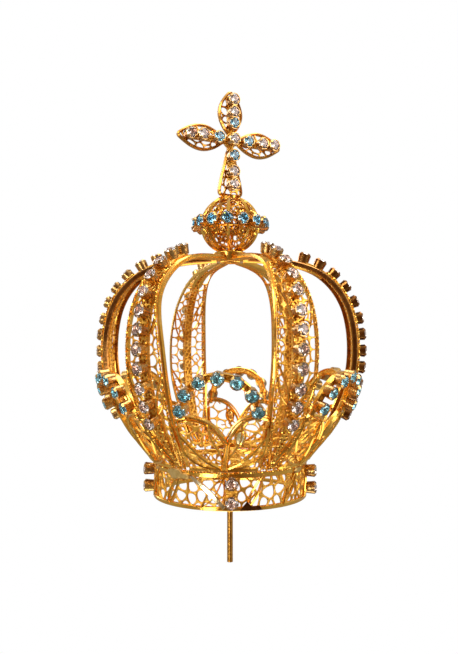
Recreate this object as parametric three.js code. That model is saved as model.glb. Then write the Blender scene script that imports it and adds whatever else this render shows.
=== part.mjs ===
// Statue crown: a gilt filigree circlet, six petals and six arches under a
// filigree orb and cross, set with clear and aqua crystals, on a fixing pin.
// Millimetres, +Z up. The front petal faces -Y and z = 0 is the underside of
// the circlet. Azimuths are in degrees from the front, growing towards +X.
import * as THREE from "three";
import { mergeVertices } from "three/addons/utils/BufferGeometryUtils.js";

// Clearance between soldered neighbours, and the length on the skin at which
// arches and petals start, so that their lower edges clear the circlet
const joint = 0.3;
const skinStart = 0.9;

// Hole in the middle of the flat washer that a ring is bent from, the least
// doubled area of a face that is left when an edge is turned, the distance
// below which corners are one, and the change of length that counts
const washerRadius = 20;
const leastArea = 0.05;
const mergeReach = 1e-4;
const leastChange = 1e-6;

// Circlet
const bandRadius = 17;
const bandHeight = 7.6;
const bandWall = 0.9;
const bandRim = 1.3;
const bandVeins = 16;
const bandVeinWidth = 1.1;
const bandPadWidth = 2.7;
const bandSlant = 0.9;
const bandStoneHeights = [2, 5.7];
const bandStoneAzimuths = [5, 84, 180, 276];

// Skin of the crown, radius and height from the circlet up to the collar
const skinPoints = [
  [16.6, 7.6], [18.3, 9.9], [20.4, 12.4], [22.4, 15], [24.2, 18.1],
  [25.9, 22], [27.3, 26.4], [27.9, 31.6], [27.6, 37.3], [26.3, 42.4],
  [23.8, 46.6], [20.1, 49.9], [15.5, 51.8], [10.5, 52.7], [4.2, 53.2],
];

// Arches, set by eye a degree or two off an even spacing. The front left one
// has its right edge bent in near the top
const archAzimuths = {
  front_right: 31,
  right: 91,
  back_right: 150,
  back_left: 208,
  left: 270,
  front_left: 328,
};
const archBentIn = "front_left";
const archBentDepth = 1.9;
const archBentAt = 38;
const archBentSpread = 9;
const archSteps = 12;
const archDepth = 1.3;
const archRailWidth = 0.6;
const archRibLeast = 1.1;
const archRibSwell = 0.06;
const archStones = 12;
const archStoneFirst = 13.6;
const archStoneStep = 3.5;
const archWindows = 6;
const archWindowsFrom = 8;
const archWindowsTo = 52;
const archRung = 0.8;
const archSlant = 1.1;
const archStrapHalf = 1.4;
const archBellyHalf = 5;
const archBellyAt = 26;
const archSpreadBelow = 20;
const archSpreadAbove = 22;
const archTaper = 2.5;

// Petals, each named with the arches on its left and right
const petalPlaces = {
  front: ["front_left", "front_right"],
  front_right: ["front_right", "right"],
  back_right: ["right", "back_right"],
  back: ["back_right", "back_left"],
  back_left: ["back_left", "left"],
  front_left: ["left", "front_left"],
};
const petalDepth = 1;
const petalStones = 7;
const petalGap = 0.48;
const petalSideSteps = 5;
const petalArcHeight = 21.2;
const petalArcHalfMost = 6.9;
const petalArcGap = 0.1;
const petalArcRise = 6.1;
const petalArcSteps = 9;
const petalStripHalf = 1.3;
const petalStemHalf = 0.9;
const petalMargin = 0.9;
const petalRows = 2;
const petalColumns = 2;
const petalVein = 0.75;
const petalVeinShare = 0.055;
const petalSlant = 1.2;
const petalLobeDrop = 1;
const petalLobe = [[4.9, 0.25], [3.5, 0.15], [2, 0.95], [0.9, 2.6]];
const petalCusp = 4.2;

// Orb and its belt of aquas
const orbHeight = 60.7;
const orbRadius = 6.6;
const orbWall = 1.3;
const orbGores = 8;
const orbPole = 68;
const orbRibHalf = 4;
const orbStones = 15;

// Cross, turned to face the front right arch
const crossHeight = 80;
const crossYaw = 30;
const crossDepth = 1.3;
const crossLeafHalf = 3.2;
const crossArmReach = 13.4;
const crossTopReach = 12;
const crossFootReach = 12.85;
const crossRim = 0.7;
const crossRibHalf = 1.35;
const crossFootCorner = 0.75;
const crossDraw = 0.15;
const crossLeastWindow = 0.2;
const crossArmStones = [7.5, 10.5];
const crossTopStones = [6.3, 9.2];
const crossFootStones = [7.3, 10.3];
const crossAquaRing = 3.7;

// Settings: a square claw cup with a crystal in it, soldered on by hand a few
// degrees off square
const settingHalf = 1.02;
const settingHeight = 1.9;
const settingTwist = 5;
const settingTwistStep = 2.3;
const cupHeight = 1.1;
const stoneTop = 2.3;
const stoneSides = 5;
const stoneGirdle = 1.2;
const stoneTable = 0.7;

// Collar under the orb, dished on top
const collarRadius = 3.85;
const collarInset = 0.9;
const collarLow = 52.1;
const collarHigh = 54.2;
const collarChamfer = 0.5;
const collarDish = 0.7;
const collarDishRadius = 1.4;
const collarSides = 10;

// Seat bar and fixing pin
const barWidth = 1.8;
const barThickness = 0.6;
const barHeight = 0.3;
const barEndGap = 0.4;
const pinRadius = 0.65;
const pinLength = 15;
const pinSides = 12;

const gold = { color: 0xc98a1e, roughness: 0.32, metalness: 1 };
const crystal = { color: 0xe9e2ea, roughness: 0.05, metalness: 0 };
const aqua = { color: 0x5fa9bf, roughness: 0.05, metalness: 0 };

const crown = new THREE.Group();

// Solids

function numbersTo(count) {
  return Array.from({ length: count }, (_, i) => i);
}

function closedGeometry(geometry) {
  geometry.deleteAttribute("normal");
  geometry.deleteAttribute("uv");
  const merged = mergeVertices(geometry, mergeReach);
  const kept = [];
  for (let i = 0; i < merged.index.count; i += 3) {
    const [a, b, c] = [0, 1, 2].map((k) => merged.index.getX(i + k));
    if (a !== b && b !== c && c !== a) {
      kept.push(a, b, c);
    }
  }
  merged.setIndex(kept);
  return merged;
}

function addMesh(name, finish, geometry) {
  const mesh = new THREE.Mesh(geometry, new THREE.MeshStandardMaterial(finish));
  mesh.name = name;
  crown.add(mesh);
}

// A flat pattern with its windows, cut from a plate of the given depth that
// is centred on h = 0, and bent by place(x, y, h). Each boss is a small
// outline that stands up from the plate to bossTop
function bentPlate({ outline, windows, bosses, depth, bossTop, place }) {
  const shape = new THREE.Shape(outline);
  shape.holes = [...windows, ...bosses].map((points) => new THREE.Path(points));
  const plate = new THREE.ExtrudeGeometry(shape, { depth, bevelEnabled: false, steps: 1 });
  plate.translate(0, 0, -depth / 2);
  const onBoss = new Set(bosses.flat().map(spotName));
  const parts = [trianglesOf(plate, (corners) => !corners.every((corner) => isBossWall(corner, onBoss)))];
  for (const boss of bosses) {
    parts.push(trianglesOf(raisedBoss(boss, depth, bossTop), () => true));
  }
  const geometry = new THREE.BufferGeometry();
  geometry.setAttribute("position", new THREE.Float32BufferAttribute(parts.flat(), 3));
  return bend(evenedOut(closedGeometry(geometry)), place);
}

// Turns long edges inside the flat faces to their shorter diagonal, so that
// the faces follow a curve when they are bent
function evenedOut(geometry) {
  const position = geometry.getAttribute("position");
  const spot = numbersTo(position.count).map((i) => new THREE.Vector3().fromBufferAttribute(position, i));
  const index = geometry.index.array;
  const faces = numbersTo(index.length / 3).map((i) => [...index.slice(i * 3, i * 3 + 3)]);
  const isFlat = ([a, b, c]) => spot[a].z === spot[b].z && spot[b].z === spot[c].z;
  const area = (a, b, c) => (spot[b].x - spot[a].x) * (spot[c].y - spot[a].y)
    - (spot[c].x - spot[a].x) * (spot[b].y - spot[a].y);
  let turns = 1;
  while (turns > 0) {
    turns = 0;
    const owner = new Map();
    faces.forEach((face, f) => {
      if (isFlat(face)) {
        [0, 1, 2].forEach((k) => owner.set(`${face[k]} ${face[(k + 1) % 3]}`, f));
      }
    });
    const touched = new Set();
    for (const [edge, f] of owner) {
      const [a, b] = edge.split(" ").map(Number);
      const g = owner.get(`${b} ${a}`);
      if (g === undefined || touched.has(f) || touched.has(g)) {
        continue;
      }
      const c = faces[f].find((corner) => corner !== a && corner !== b);
      const d = faces[g].find((corner) => corner !== a && corner !== b);
      const hand = Math.sign(area(a, b, c));
      const isConvex = hand * area(a, d, c) > leastArea && hand * area(d, b, c) > leastArea;
      if (isConvex && spot[c].distanceTo(spot[d]) < spot[a].distanceTo(spot[b]) - leastChange) {
        faces[f] = [a, d, c];
        faces[g] = [d, b, c];
        touched.add(f).add(g);
        turns += 1;
      }
    }
  }
  geometry.setIndex(faces.flat());
  return geometry;
}

// A boss from the top of the plate to its own top, with its lower cap moved
// down to close the underside of the plate
function raisedBoss(outline, depth, top) {
  const shape = new THREE.Shape(outline);
  const block = new THREE.ExtrudeGeometry(shape, { depth: top, bevelEnabled: false, steps: 1 });
  block.translate(0, 0, depth / 2);
  const position = block.getAttribute("position");
  const normal = block.getAttribute("normal");
  for (let i = 0; i < position.count; i += 1) {
    if (normal.getZ(i) < -0.5) {
      position.setZ(i, -depth / 2);
    }
  }
  return block;
}

function spotName({ x, y }) {
  return `${Math.fround(x)} ${Math.fround(y)}`;
}

function isBossWall(corner, onBoss) {
  return Math.abs(corner.normal.z) < 0.5 && onBoss.has(spotName(corner.point));
}

function trianglesOf(geometry, keep) {
  const position = geometry.getAttribute("position");
  const normal = geometry.getAttribute("normal");
  const numbers = [];
  for (let i = 0; i < position.count; i += 3) {
    const corners = [i, i + 1, i + 2].map((k) => ({
      point: new THREE.Vector3().fromBufferAttribute(position, k),
      normal: new THREE.Vector3().fromBufferAttribute(normal, k),
    }));
    if (keep(corners)) {
      numbers.push(...corners.flatMap(({ point }) => point.toArray()));
    }
  }
  return numbers;
}

// A ring round the crown's axis, cut from a flat washer whose outer edge
// becomes the low edge. Windows and bosses are lists of [azimuth, rise]
function bentRing({ low, high, sides, windows, bosses, depth, bossTop, place }) {
  const washer = ([azimuth, rise]) => {
    const turn = radians(azimuth);
    const radius = washerRadius + high - rise;
    return new THREE.Vector2(radius * Math.cos(turn), radius * Math.sin(turn));
  };
  const circle = (rise) => numbersTo(sides).map((i) => washer([(360 * i) / sides, rise]));
  return bentPlate({
    outline: circle(low),
    windows: [circle(high), ...windows.map((points) => points.map(washer))],
    bosses: bosses.map((points) => points.map(washer)),
    depth,
    bossTop,
    place: (x, y, h) => {
      const rise = washerRadius + high - Math.hypot(x, y);
      const azimuth = THREE.MathUtils.radToDeg(Math.atan2(y, x));
      return place(azimuth, Math.round(rise * 1e4) / 1e4, h);
    },
  });
}

function bend(geometry, place) {
  const position = geometry.getAttribute("position");
  for (let i = 0; i < position.count; i += 1) {
    const point = place(position.getX(i), position.getY(i), position.getZ(i));
    position.setXYZ(i, point.x, point.y, point.z);
  }
  return geometry;
}

// Frames on the crown

function radians(degrees) {
  return THREE.MathUtils.degToRad(degrees);
}

function outward(azimuth) {
  const turn = radians(azimuth - 90);
  return new THREE.Vector3(Math.cos(turn), Math.sin(turn), 0);
}

function sideways(azimuth) {
  return outward(azimuth + 90);
}

const skin = new THREE.CatmullRomCurve3(
  skinPoints.map(([radius, height]) => new THREE.Vector3(radius, 0, height)), false, "centripetal");
skin.arcLengthDivisions = 400;
const skinLength = skin.getLength();

// Point and directions on the skin at a length along it from the circlet
function skinFrame(length, azimuth) {
  const share = THREE.MathUtils.clamp(length / skinLength, 0, 1);
  const place = skin.getPointAt(share);
  const along = skin.getTangentAt(share);
  const radial = outward(azimuth);
  const up = new THREE.Vector3(0, 0, 1);
  return {
    radius: place.x,
    point: radial.clone().multiplyScalar(place.x).addScaledVector(up, place.z),
    normal: radial.clone().multiplyScalar(along.z).addScaledVector(up, -along.x),
    along: radial.clone().multiplyScalar(along.x).addScaledVector(up, along.z),
    side: sideways(azimuth),
  };
}

function skinLengthAt(height) {
  let low = 0;
  let high = skinLength;
  for (let i = 0; i < 40; i += 1) {
    const middle = (low + high) / 2;
    if (skin.getPointAt(middle / skinLength).z < height) {
      low = middle;
    } else {
      high = middle;
    }
  }
  return low;
}

// Settings and stones, standing on a frame

// Outline of the cup with the given number, turned by its own small twist
function cupOutline(x, y, number, turn = 0) {
  const angle = turn + radians(settingTwist * Math.sin(1 + number * settingTwistStep));
  const corners = [[-1, -1], [1, -1], [1, 1], [-1, 1]];
  return corners.map(([u, v]) => new THREE.Vector2(u, v)
    .multiplyScalar(settingHalf).rotateAround(new THREE.Vector2(), angle).add(new THREE.Vector2(x, y)));
}

function frustum(low, high, lowRadius, highRadius, sides) {
  const profile = [[0, low], [lowRadius, low], [highRadius, high], [0, high]];
  const points = profile.map(([radius, height]) => new THREE.Vector2(radius, height));
  const geometry = new THREE.LatheGeometry(points, sides);
  geometry.rotateX(Math.PI / 2);
  return geometry.rotateZ(Math.PI / sides);
}

function standing(geometry, frame, lift = 0) {
  const basis = new THREE.Matrix4().makeBasis(frame.side, frame.along, frame.normal);
  basis.setPosition(frame.point.clone().addScaledVector(frame.normal, lift));
  return geometry.applyMatrix4(basis);
}

function addStone(name, finish, frame, lift) {
  const geometry = frustum(cupHeight + joint, stoneTop, stoneGirdle, stoneTable, stoneSides);
  addMesh(name, finish, closedGeometry(standing(geometry, frame, lift)));
}

// Circlet: two rims joined by slanting veins, with a pair of cups on each quarter

function bandFrame(height, azimuth) {
  return {
    point: outward(azimuth).multiplyScalar(bandRadius).setZ(height),
    normal: outward(azimuth),
    along: new THREE.Vector3(0, 0, 1),
    side: sideways(azimuth),
  };
}

// Azimuth of one edge of a vein: broad and upright under the settings, thin
// and slanting to alternate sides between them
function veinEdge(index, side, level) {
  const quarter = bandVeins / bandStoneAzimuths.length;
  const perDegree = radians(1) * bandRadius;
  if (index % quarter === 0) {
    const lap = Math.floor(index / bandVeins);
    const azimuth = bandStoneAzimuths[(index % bandVeins) / quarter] + lap * 360;
    return azimuth + (side * bandPadWidth) / 2 / perDegree;
  }
  const lean = (index % 2 ? 1 : -1) * bandSlant * level;
  return (index * 360) / bandVeins + ((side * bandVeinWidth) / 2 + lean) / perDegree;
}

function bandWindow(index) {
  const low = bandRim;
  const high = bandHeight - bandRim;
  return [
    [veinEdge(index, 1, -1), low], [veinEdge(index + 1, -1, -1), low],
    [veinEdge(index + 1, -1, 1), high], [veinEdge(index, 1, 1), high],
  ];
}

function makeBand() {
  const perDegree = radians(1) * bandRadius;
  const bosses = bandStoneAzimuths.flatMap((azimuth, i) => bandStoneHeights.map((height, k) =>
    cupOutline(0, height, i * 2 + k).map(({ x, y }) => [azimuth + x / perDegree, y])));
  const ring = bentRing({
    low: 0,
    high: bandHeight,
    sides: bandVeins * 2,
    windows: numbersTo(bandVeins).map(bandWindow),
    bosses,
    depth: bandWall,
    bossTop: cupHeight,
    place: (azimuth, rise, h) => outward(azimuth).multiplyScalar(bandRadius - bandWall / 2 + h).setZ(rise),
  });
  addMesh("circlet", gold, ring);
}

function addBandStones() {
  const sides = ["front", "right", "back", "left"];
  const levels = ["lower", "upper"];
  bandStoneAzimuths.forEach((azimuth, i) => {
    bandStoneHeights.forEach((height, k) => {
      addStone(`crystal_circlet_${sides[i]}_${levels[k]}`, crystal, bandFrame(height, azimuth), 0);
    });
  });
}

// Arches: a lance-shaped strip with a solid rib, two rails and slanting rungs

function archHalf(length) {
  const spread = length < archBellyAt ? archSpreadBelow : archSpreadAbove;
  const share = Math.abs(length - archBellyAt) / spread;
  return archStrapHalf + (archBellyHalf - archStrapHalf) * Math.exp(-(share ** archTaper));
}

// Distance from the middle of the named arch to one of its edges
function archReach(name, side, length) {
  const bent = name === archBentIn && side > 0 ? archBentDepth : 0;
  return archHalf(length) - bent * Math.exp(-(((length - archBentAt) / archBentSpread) ** 2));
}

function archRibHalf(length) {
  return archRibLeast + archRibSwell * archHalf(length);
}

function archWindow(name, index, side) {
  const pitch = (archWindowsTo - archWindowsFrom) / archWindows;
  const from = archWindowsFrom + index * pitch + archRung / 2;
  const to = from + pitch - archRung;
  const outer = (at) => new THREE.Vector2(side * (archReach(name, side, at) - archRailWidth), at);
  const inner = (at) => new THREE.Vector2(side * archRibHalf(at), at);
  return [inner(from), outer(from + archSlant), outer(to + archSlant), inner(to)];
}

function makeArch(name, azimuth) {
  const step = (skinLength - skinStart) / archSteps;
  const stations = numbersTo(archSteps + 1).map((i) => skinStart + step * i);
  const edge = (length, side) => new THREE.Vector2(side * archReach(name, side, length), length);
  const strip = bentPlate({
    outline: [
      ...stations.map((length) => edge(length, 1)),
      ...stations.toReversed().map((length) => edge(length, -1)),
    ],
    windows: [1, -1].flatMap((side) => numbersTo(archWindows).map((i) => archWindow(name, i, side))),
    bosses: numbersTo(archStones).map((i) => cupOutline(0, archStoneFirst + i * archStoneStep, i)),
    depth: archDepth,
    bossTop: settingHeight,
    place: (x, y, h) => {
      const frame = skinFrame(y, azimuth);
      return frame.point.addScaledVector(frame.side, x).addScaledVector(frame.normal, h);
    },
  });
  addMesh(`arch_${name}`, gold, strip);
}

// Petals: an arc strip of seven settings over two leaf lobes that spring from
// a stem on the circlet

// Half-width of a petal between arches that are twice the given turn apart
function petalHalf(length, turn) {
  const { radius } = skinFrame(length, 0);
  return radius * (radians(turn) - Math.asin(archHalf(length) / radius)) - petalGap;
}

// Evenly spaced turns of a half circle, from its left end to its right
function halfCircle(steps) {
  return numbersTo(steps + 1).map((i) => -Math.PI / 2 + (Math.PI * i) / steps);
}

function arcPoint({ half, base }, turn, offset) {
  const rise = petalArcRise + offset;
  return new THREE.Vector2((half + offset) * Math.sin(turn), base + rise * Math.cos(turn));
}

// Turns of the arc that space its settings evenly
function arcTurns(arc) {
  const samples = halfCircle(180);
  const lengths = [0];
  for (let i = 1; i < samples.length; i += 1) {
    const step = arcPoint(arc, samples[i], 0).distanceTo(arcPoint(arc, samples[i - 1], 0));
    lengths.push(lengths[i - 1] + step);
  }
  return numbersTo(petalStones).map((k) => {
    const wanted = (lengths.at(-1) * k) / (petalStones - 1);
    return samples[lengths.findIndex((length) => length >= wanted - leastChange)];
  });
}

function petalCell(row, column, side, top, turn) {
  const rise = (top - petalMargin) / petalRows;
  const at = (share, length) => {
    const edge = petalHalf(length, turn) - petalMargin;
    return new THREE.Vector2(side * (petalStemHalf + (edge - petalStemHalf) * share), length);
  };
  const inner = column / petalColumns + (column ? petalVeinShare : 0);
  const outer = (column + 1) / petalColumns - (column < petalColumns - 1 ? petalVeinShare : 0);
  const low = petalMargin + skinStart + row * rise + petalVein / 2;
  const high = low + rise - petalVein;
  return [
    at(inner, low + petalSlant * inner), at(outer, low + petalSlant * outer),
    at(outer, high + petalSlant * outer), at(inner, high + petalSlant * inner),
  ];
}

function makePetal(name, azimuth, halfTurn) {
  const base = skinLengthAt(petalArcHeight);
  const room = petalHalf(base, halfTurn) - petalStripHalf - petalArcGap;
  const arc = { base, half: Math.min(petalArcHalfMost, room) };
  const lobeTop = base - petalLobeDrop;
  const step = (lobeTop - skinStart) / petalSideSteps;
  const rise = numbersTo(petalSideSteps + 1).map((i) => skinStart + step * i);
  const turns = halfCircle(petalArcSteps);
  const lobe = petalLobe.map(([x, drop]) => new THREE.Vector2(x, lobeTop - drop));
  const mirrored = (points) => points.toReversed().map(({ x, y }) => new THREE.Vector2(-x, y));
  const side = rise.map((length) => new THREE.Vector2(petalHalf(length, halfTurn), length));
  const heart = [
    ...turns.map((turn) => arcPoint(arc, turn, -petalStripHalf)),
    ...lobe,
    new THREE.Vector2(0, lobeTop - petalCusp),
    ...mirrored(lobe),
  ];
  const cells = [1, -1].flatMap((hand) => numbersTo(petalRows * petalColumns).map((i) =>
    petalCell(Math.floor(i / petalColumns), i % petalColumns, hand, lobeTop - petalCusp, halfTurn)));
  const petal = bentPlate({
    outline: [
      ...side,
      ...turns.toReversed().map((turn) => arcPoint(arc, turn, petalStripHalf)),
      ...mirrored(side),
    ],
    windows: [heart, ...cells],
    bosses: arcTurns(arc).map((turn, i) => {
      const spot = arcPoint(arc, turn, 0);
      return cupOutline(spot.x, spot.y, i, -turn);
    }),
    depth: petalDepth,
    bossTop: settingHeight,
    place: (x, y, h) => {
      const { radius } = skinFrame(y, 0);
      const frame = skinFrame(y, azimuth + THREE.MathUtils.radToDeg(x / radius));
      return frame.point.addScaledVector(frame.normal, h);
    },
  });
  addMesh(`petal_${name}`, gold, petal);
}

// Orb: gores of openwork above and below a belt of settings

function orbFrame(latitude, azimuth) {
  const radial = outward(azimuth);
  const rise = radians(latitude);
  const up = new THREE.Vector3(0, 0, 1);
  const normal = radial.clone().multiplyScalar(Math.cos(rise)).addScaledVector(up, Math.sin(rise));
  const along = radial.clone().multiplyScalar(-Math.sin(rise)).addScaledVector(up, Math.cos(rise));
  const point = normal.clone().multiplyScalar(orbRadius).add(new THREE.Vector3(0, 0, orbHeight));
  return { point, normal, along, side: sideways(azimuth) };
}

// Corners of a window, as shares of half its gore's width and latitudes
const orbWindowCorners = [[-1, 13], [0, 13.5], [1, 13], [0.85, 36], [0, 56], [-0.85, 36]];

function orbWindow(index, side) {
  const pitch = 360 / orbGores;
  const half = pitch / 2 - orbRibHalf;
  const middle = (index + 0.5) * pitch;
  return orbWindowCorners.map(([share, latitude]) => [middle + share * half, side * latitude]);
}

function makeOrb() {
  const perDegree = radians(1) * orbRadius;
  const bosses = numbersTo(orbStones).map((i) =>
    cupOutline(0, 0, i).map(({ x, y }) => [(360 * i) / orbStones + x / perDegree, y / perDegree]));
  const ring = bentRing({
    low: -orbPole,
    high: orbPole,
    sides: orbGores * 2,
    windows: [1, -1].flatMap((side) => numbersTo(orbGores).map((i) => orbWindow(i, side))),
    bosses,
    depth: orbWall,
    bossTop: cupHeight,
    place: (azimuth, latitude, h) => {
      const frame = orbFrame(latitude, azimuth);
      return frame.point.addScaledVector(frame.normal, h - orbWall / 2);
    },
  });
  addMesh("orb", gold, ring);
}

function addOrbStones() {
  for (let i = 0; i < orbStones; i += 1) {
    const number = String(i + 1).padStart(2, "0");
    addStone(`aqua_orb_${number}`, aqua, orbFrame(0, (360 * i) / orbStones), 0);
  }
}

// Cross: three leaf loops and a spreading foot round a cluster of settings

function crossPoint(x, y, h = 0) {
  const frame = crossFrame();
  return frame.point.addScaledVector(frame.side, x).addScaledVector(frame.along, y)
    .addScaledVector(frame.normal, h);
}

function crossFrame() {
  return {
    point: new THREE.Vector3(0, 0, crossHeight),
    normal: outward(crossYaw),
    along: new THREE.Vector3(0, 0, 1),
    side: sideways(crossYaw),
  };
}

function turned(point, quarter) {
  const [x, y] = point;
  return [[x, y], [-y, x], [-x, -y], [y, -x]][quarter];
}

// Half-widths of a leaf at shares of its reach
const leafHalves = [[0.19, 0.55], [0.33, 0.85], [0.52, 1], [0.73, 0.82], [0.9, 0.42]];
const footHalves = [[0.2, 0.4], [0.45, 0.6], [0.7, 0.9], [0.92, 1]];

function armOutline(reach, halves, tip) {
  const right = halves.map(([at, half]) => [half * crossLeafHalf, at * reach]);
  const left = right.toReversed().map(([x, y]) => [-x, y]);
  return [...right, ...tip, ...left];
}

function armWindows(reach, halves, rib) {
  return [1, -1].map((side) => {
    const outer = halves.map(([at, half]) => [half * crossLeafHalf - crossRim, at * reach - crossDraw]);
    const kept = outer.filter(([x]) => x > rib + crossLeastWindow);
    const inner = [[rib, kept.at(-1)[1] - joint], [rib, kept[0][1] + joint]];
    return [...kept, ...inner].map(([x, y]) => [side * x, y]);
  });
}

function makeCross() {
  const footCorner = crossLeafHalf * crossFootCorner;
  const footTip = [[footCorner, crossFootReach], [-footCorner, crossFootReach]];
  const arms = [
    { quarter: 0, reach: crossTopReach, halves: leafHalves, tip: [[0, crossTopReach]] },
    { quarter: 1, reach: crossArmReach, halves: leafHalves, tip: [[0, crossArmReach]] },
    { quarter: 2, reach: crossFootReach, halves: footHalves, tip: footTip },
    { quarter: 3, reach: crossArmReach, halves: leafHalves, tip: [[0, crossArmReach]] },
  ];
  const outline = arms.flatMap(({ quarter, reach, halves, tip }) =>
    armOutline(reach, halves, tip).map((point) => turned(point, quarter)));
  const windows = arms.flatMap(({ quarter, reach, halves }) =>
    armWindows(reach, halves, crossRibHalf).map((points) => points.map((point) => turned(point, quarter))));
  const asVectors = (points) => points.map(([x, y]) => new THREE.Vector2(x, y));
  const plate = bentPlate({
    outline: asVectors(outline),
    windows: windows.map(asVectors),
    bosses: crossSpots().map(([, , x, y], i) => cupOutline(x, y, i)),
    depth: crossDepth,
    bossTop: cupHeight,
    place: crossPoint,
  });
  addMesh("cross", gold, plate);
}

// Name, finish and place of every stone on the cross
function crossSpots() {
  const spots = [["crystal_cross_centre", crystal, 0, 0]];
  const arms = [
    ["top", crossTopStones],
    ["left", crossArmStones],
    ["foot", crossFootStones],
    ["right", crossArmStones],
  ];
  for (const [quarter, [name, reaches]] of arms.entries()) {
    spots.push([`aqua_cross_${name}`, aqua, ...turned([0, crossAquaRing], quarter)]);
    reaches.forEach((reach, i) => {
      spots.push([`crystal_cross_${name}_${i + 1}`, crystal, ...turned([0, reach], quarter)]);
    });
  }
  return spots;
}

function addCrossStones() {
  for (const [name, finish, x, y] of crossSpots()) {
    addStone(name, finish, { ...crossFrame(), point: crossPoint(x, y) }, crossDepth / 2);
  }
}

// Collar, seat bar and pin

function makeCollar() {
  const profile = [
    [0, collarLow], [collarRadius - collarInset, collarLow], [collarRadius, collarLow + collarChamfer],
    [collarRadius, collarHigh - collarChamfer], [collarRadius - collarInset, collarHigh],
    [collarDishRadius, collarHigh - collarDish], [0, collarHigh - collarDish],
  ];
  const points = profile.map(([radius, height]) => new THREE.Vector2(radius, height));
  const geometry = new THREE.LatheGeometry(points, collarSides);
  geometry.rotateX(Math.PI / 2);
  addMesh("collar", gold, closedGeometry(geometry));
}

function makeSeatBar() {
  const length = 2 * (bandRadius - bandWall - barEndGap);
  const geometry = new THREE.BoxGeometry(barWidth, length, barThickness);
  geometry.translate(0, 0, barHeight + barThickness / 2);
  addMesh("seat_bar", gold, closedGeometry(geometry));
}

function makePin() {
  const top = barHeight - joint;
  const geometry = new THREE.CylinderGeometry(pinRadius, pinRadius, pinLength, pinSides, 1);
  geometry.rotateX(Math.PI / 2);
  geometry.translate(0, 0, top - pinLength / 2);
  addMesh("pin", gold, closedGeometry(geometry));
}

makeBand();
for (const [place, [before, after]] of Object.entries(petalPlaces)) {
  const halfTurn = ((archAzimuths[after] - archAzimuths[before] + 360) % 360) / 2;
  makePetal(place, archAzimuths[before] + halfTurn, halfTurn);
}
for (const [place, azimuth] of Object.entries(archAzimuths)) {
  makeArch(place, azimuth);
}
makeCollar();
makeOrb();
makeCross();
makeSeatBar();
makePin();
addBandStones();
addOrbStones();
addCrossStones();

export default crown;
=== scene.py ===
# Statue crown in gilt filigree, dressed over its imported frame. Patterns are
# drawn flat in millimetres, bent onto the crown and stored in metres.
import math
import random

import bpy
import numpy as np
from mathutils import Matrix, Vector
from mathutils.geometry import delaunay_2d_cdt


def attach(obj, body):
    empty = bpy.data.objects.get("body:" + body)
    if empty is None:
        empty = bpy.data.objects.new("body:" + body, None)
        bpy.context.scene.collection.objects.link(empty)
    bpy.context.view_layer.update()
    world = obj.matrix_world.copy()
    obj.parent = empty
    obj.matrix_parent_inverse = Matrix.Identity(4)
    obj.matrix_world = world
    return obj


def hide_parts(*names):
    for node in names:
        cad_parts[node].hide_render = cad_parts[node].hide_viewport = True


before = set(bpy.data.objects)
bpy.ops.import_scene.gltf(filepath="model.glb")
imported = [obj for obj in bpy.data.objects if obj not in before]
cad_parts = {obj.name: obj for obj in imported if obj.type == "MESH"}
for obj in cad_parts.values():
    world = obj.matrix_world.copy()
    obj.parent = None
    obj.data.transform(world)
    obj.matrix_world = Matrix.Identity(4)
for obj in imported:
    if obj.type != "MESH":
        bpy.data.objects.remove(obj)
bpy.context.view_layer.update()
bpy.ops.object.select_all(action="DESELECT")
print("frame loaded")

mm = 0.001

# Camera

view = {
    "azimuth": 4.0, "distance": 147.4, "height": 30.7, "pitch": 2.6, "lens": 35.8, "shiftX": -0.0015,
    "clipStart": 0.01,
}


def addCamera():
    turn = math.radians(view["azimuth"])
    place = Vector((math.sin(turn), -math.cos(turn), 0)) * view["distance"]
    place.z = view["height"]
    tilt = math.radians(90 + view["pitch"])
    bpy.ops.object.camera_add(location=place * mm, rotation=(tilt, 0, turn))
    camera = bpy.context.object
    camera.data.lens = view["lens"]
    camera.data.shift_x = view["shiftX"]
    camera.data.clip_start = view["clipStart"]
    bpy.context.scene.camera = camera


addCamera()

# Shader nodes: a wire is a socket that can be added and multiplied


class Wire:
    def __init__(self, sheet, socket):
        self.sheet = sheet
        self.socket = socket

    def maths(self, operation, first, second):
        return self.sheet.node("ShaderNodeMath", {"operation": operation}, {0: first, 1: second})

    def __add__(self, other):
        return self.maths("ADD", self, other)

    def __radd__(self, other):
        return self.maths("ADD", other, self)

    def __mul__(self, other):
        return self.maths("MULTIPLY", self, other)

    def __rmul__(self, other):
        return self.maths("MULTIPLY", other, self)


class Sheet:
    def __init__(self, tree):
        self.tree = tree

    # Every node: its type, its settings, then the values or links of its sockets
    def node(self, kind, settings, inputs, output=0):
        node = self.tree.nodes.new(kind)
        for name, value in settings.items():
            if name == "stops":
                self.setStops(node.color_ramp.elements, value)
            else:
                setattr(node, name, value)
        for name, value in inputs.items():
            self.feed(node.inputs[name], value)
        return Wire(self, node.outputs[output])

    def feed(self, socket, value):
        if isinstance(value, Wire):
            self.tree.links.new(value.socket, socket)
        else:
            socket.default_value = value

    def setStops(self, elements, stops):
        for i, (place, colour) in enumerate((stops[0], stops[-1])):
            elements[i].position = place
            elements[i].color = (*colour, 1)
        for place, colour in stops[1:-1]:
            elements.new(place).color = (*colour, 1)

    def ramp(self, factor, stops):
        return self.node("ShaderNodeValToRGB", {"stops": stops}, {"Fac": factor}, "Color")


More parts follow.
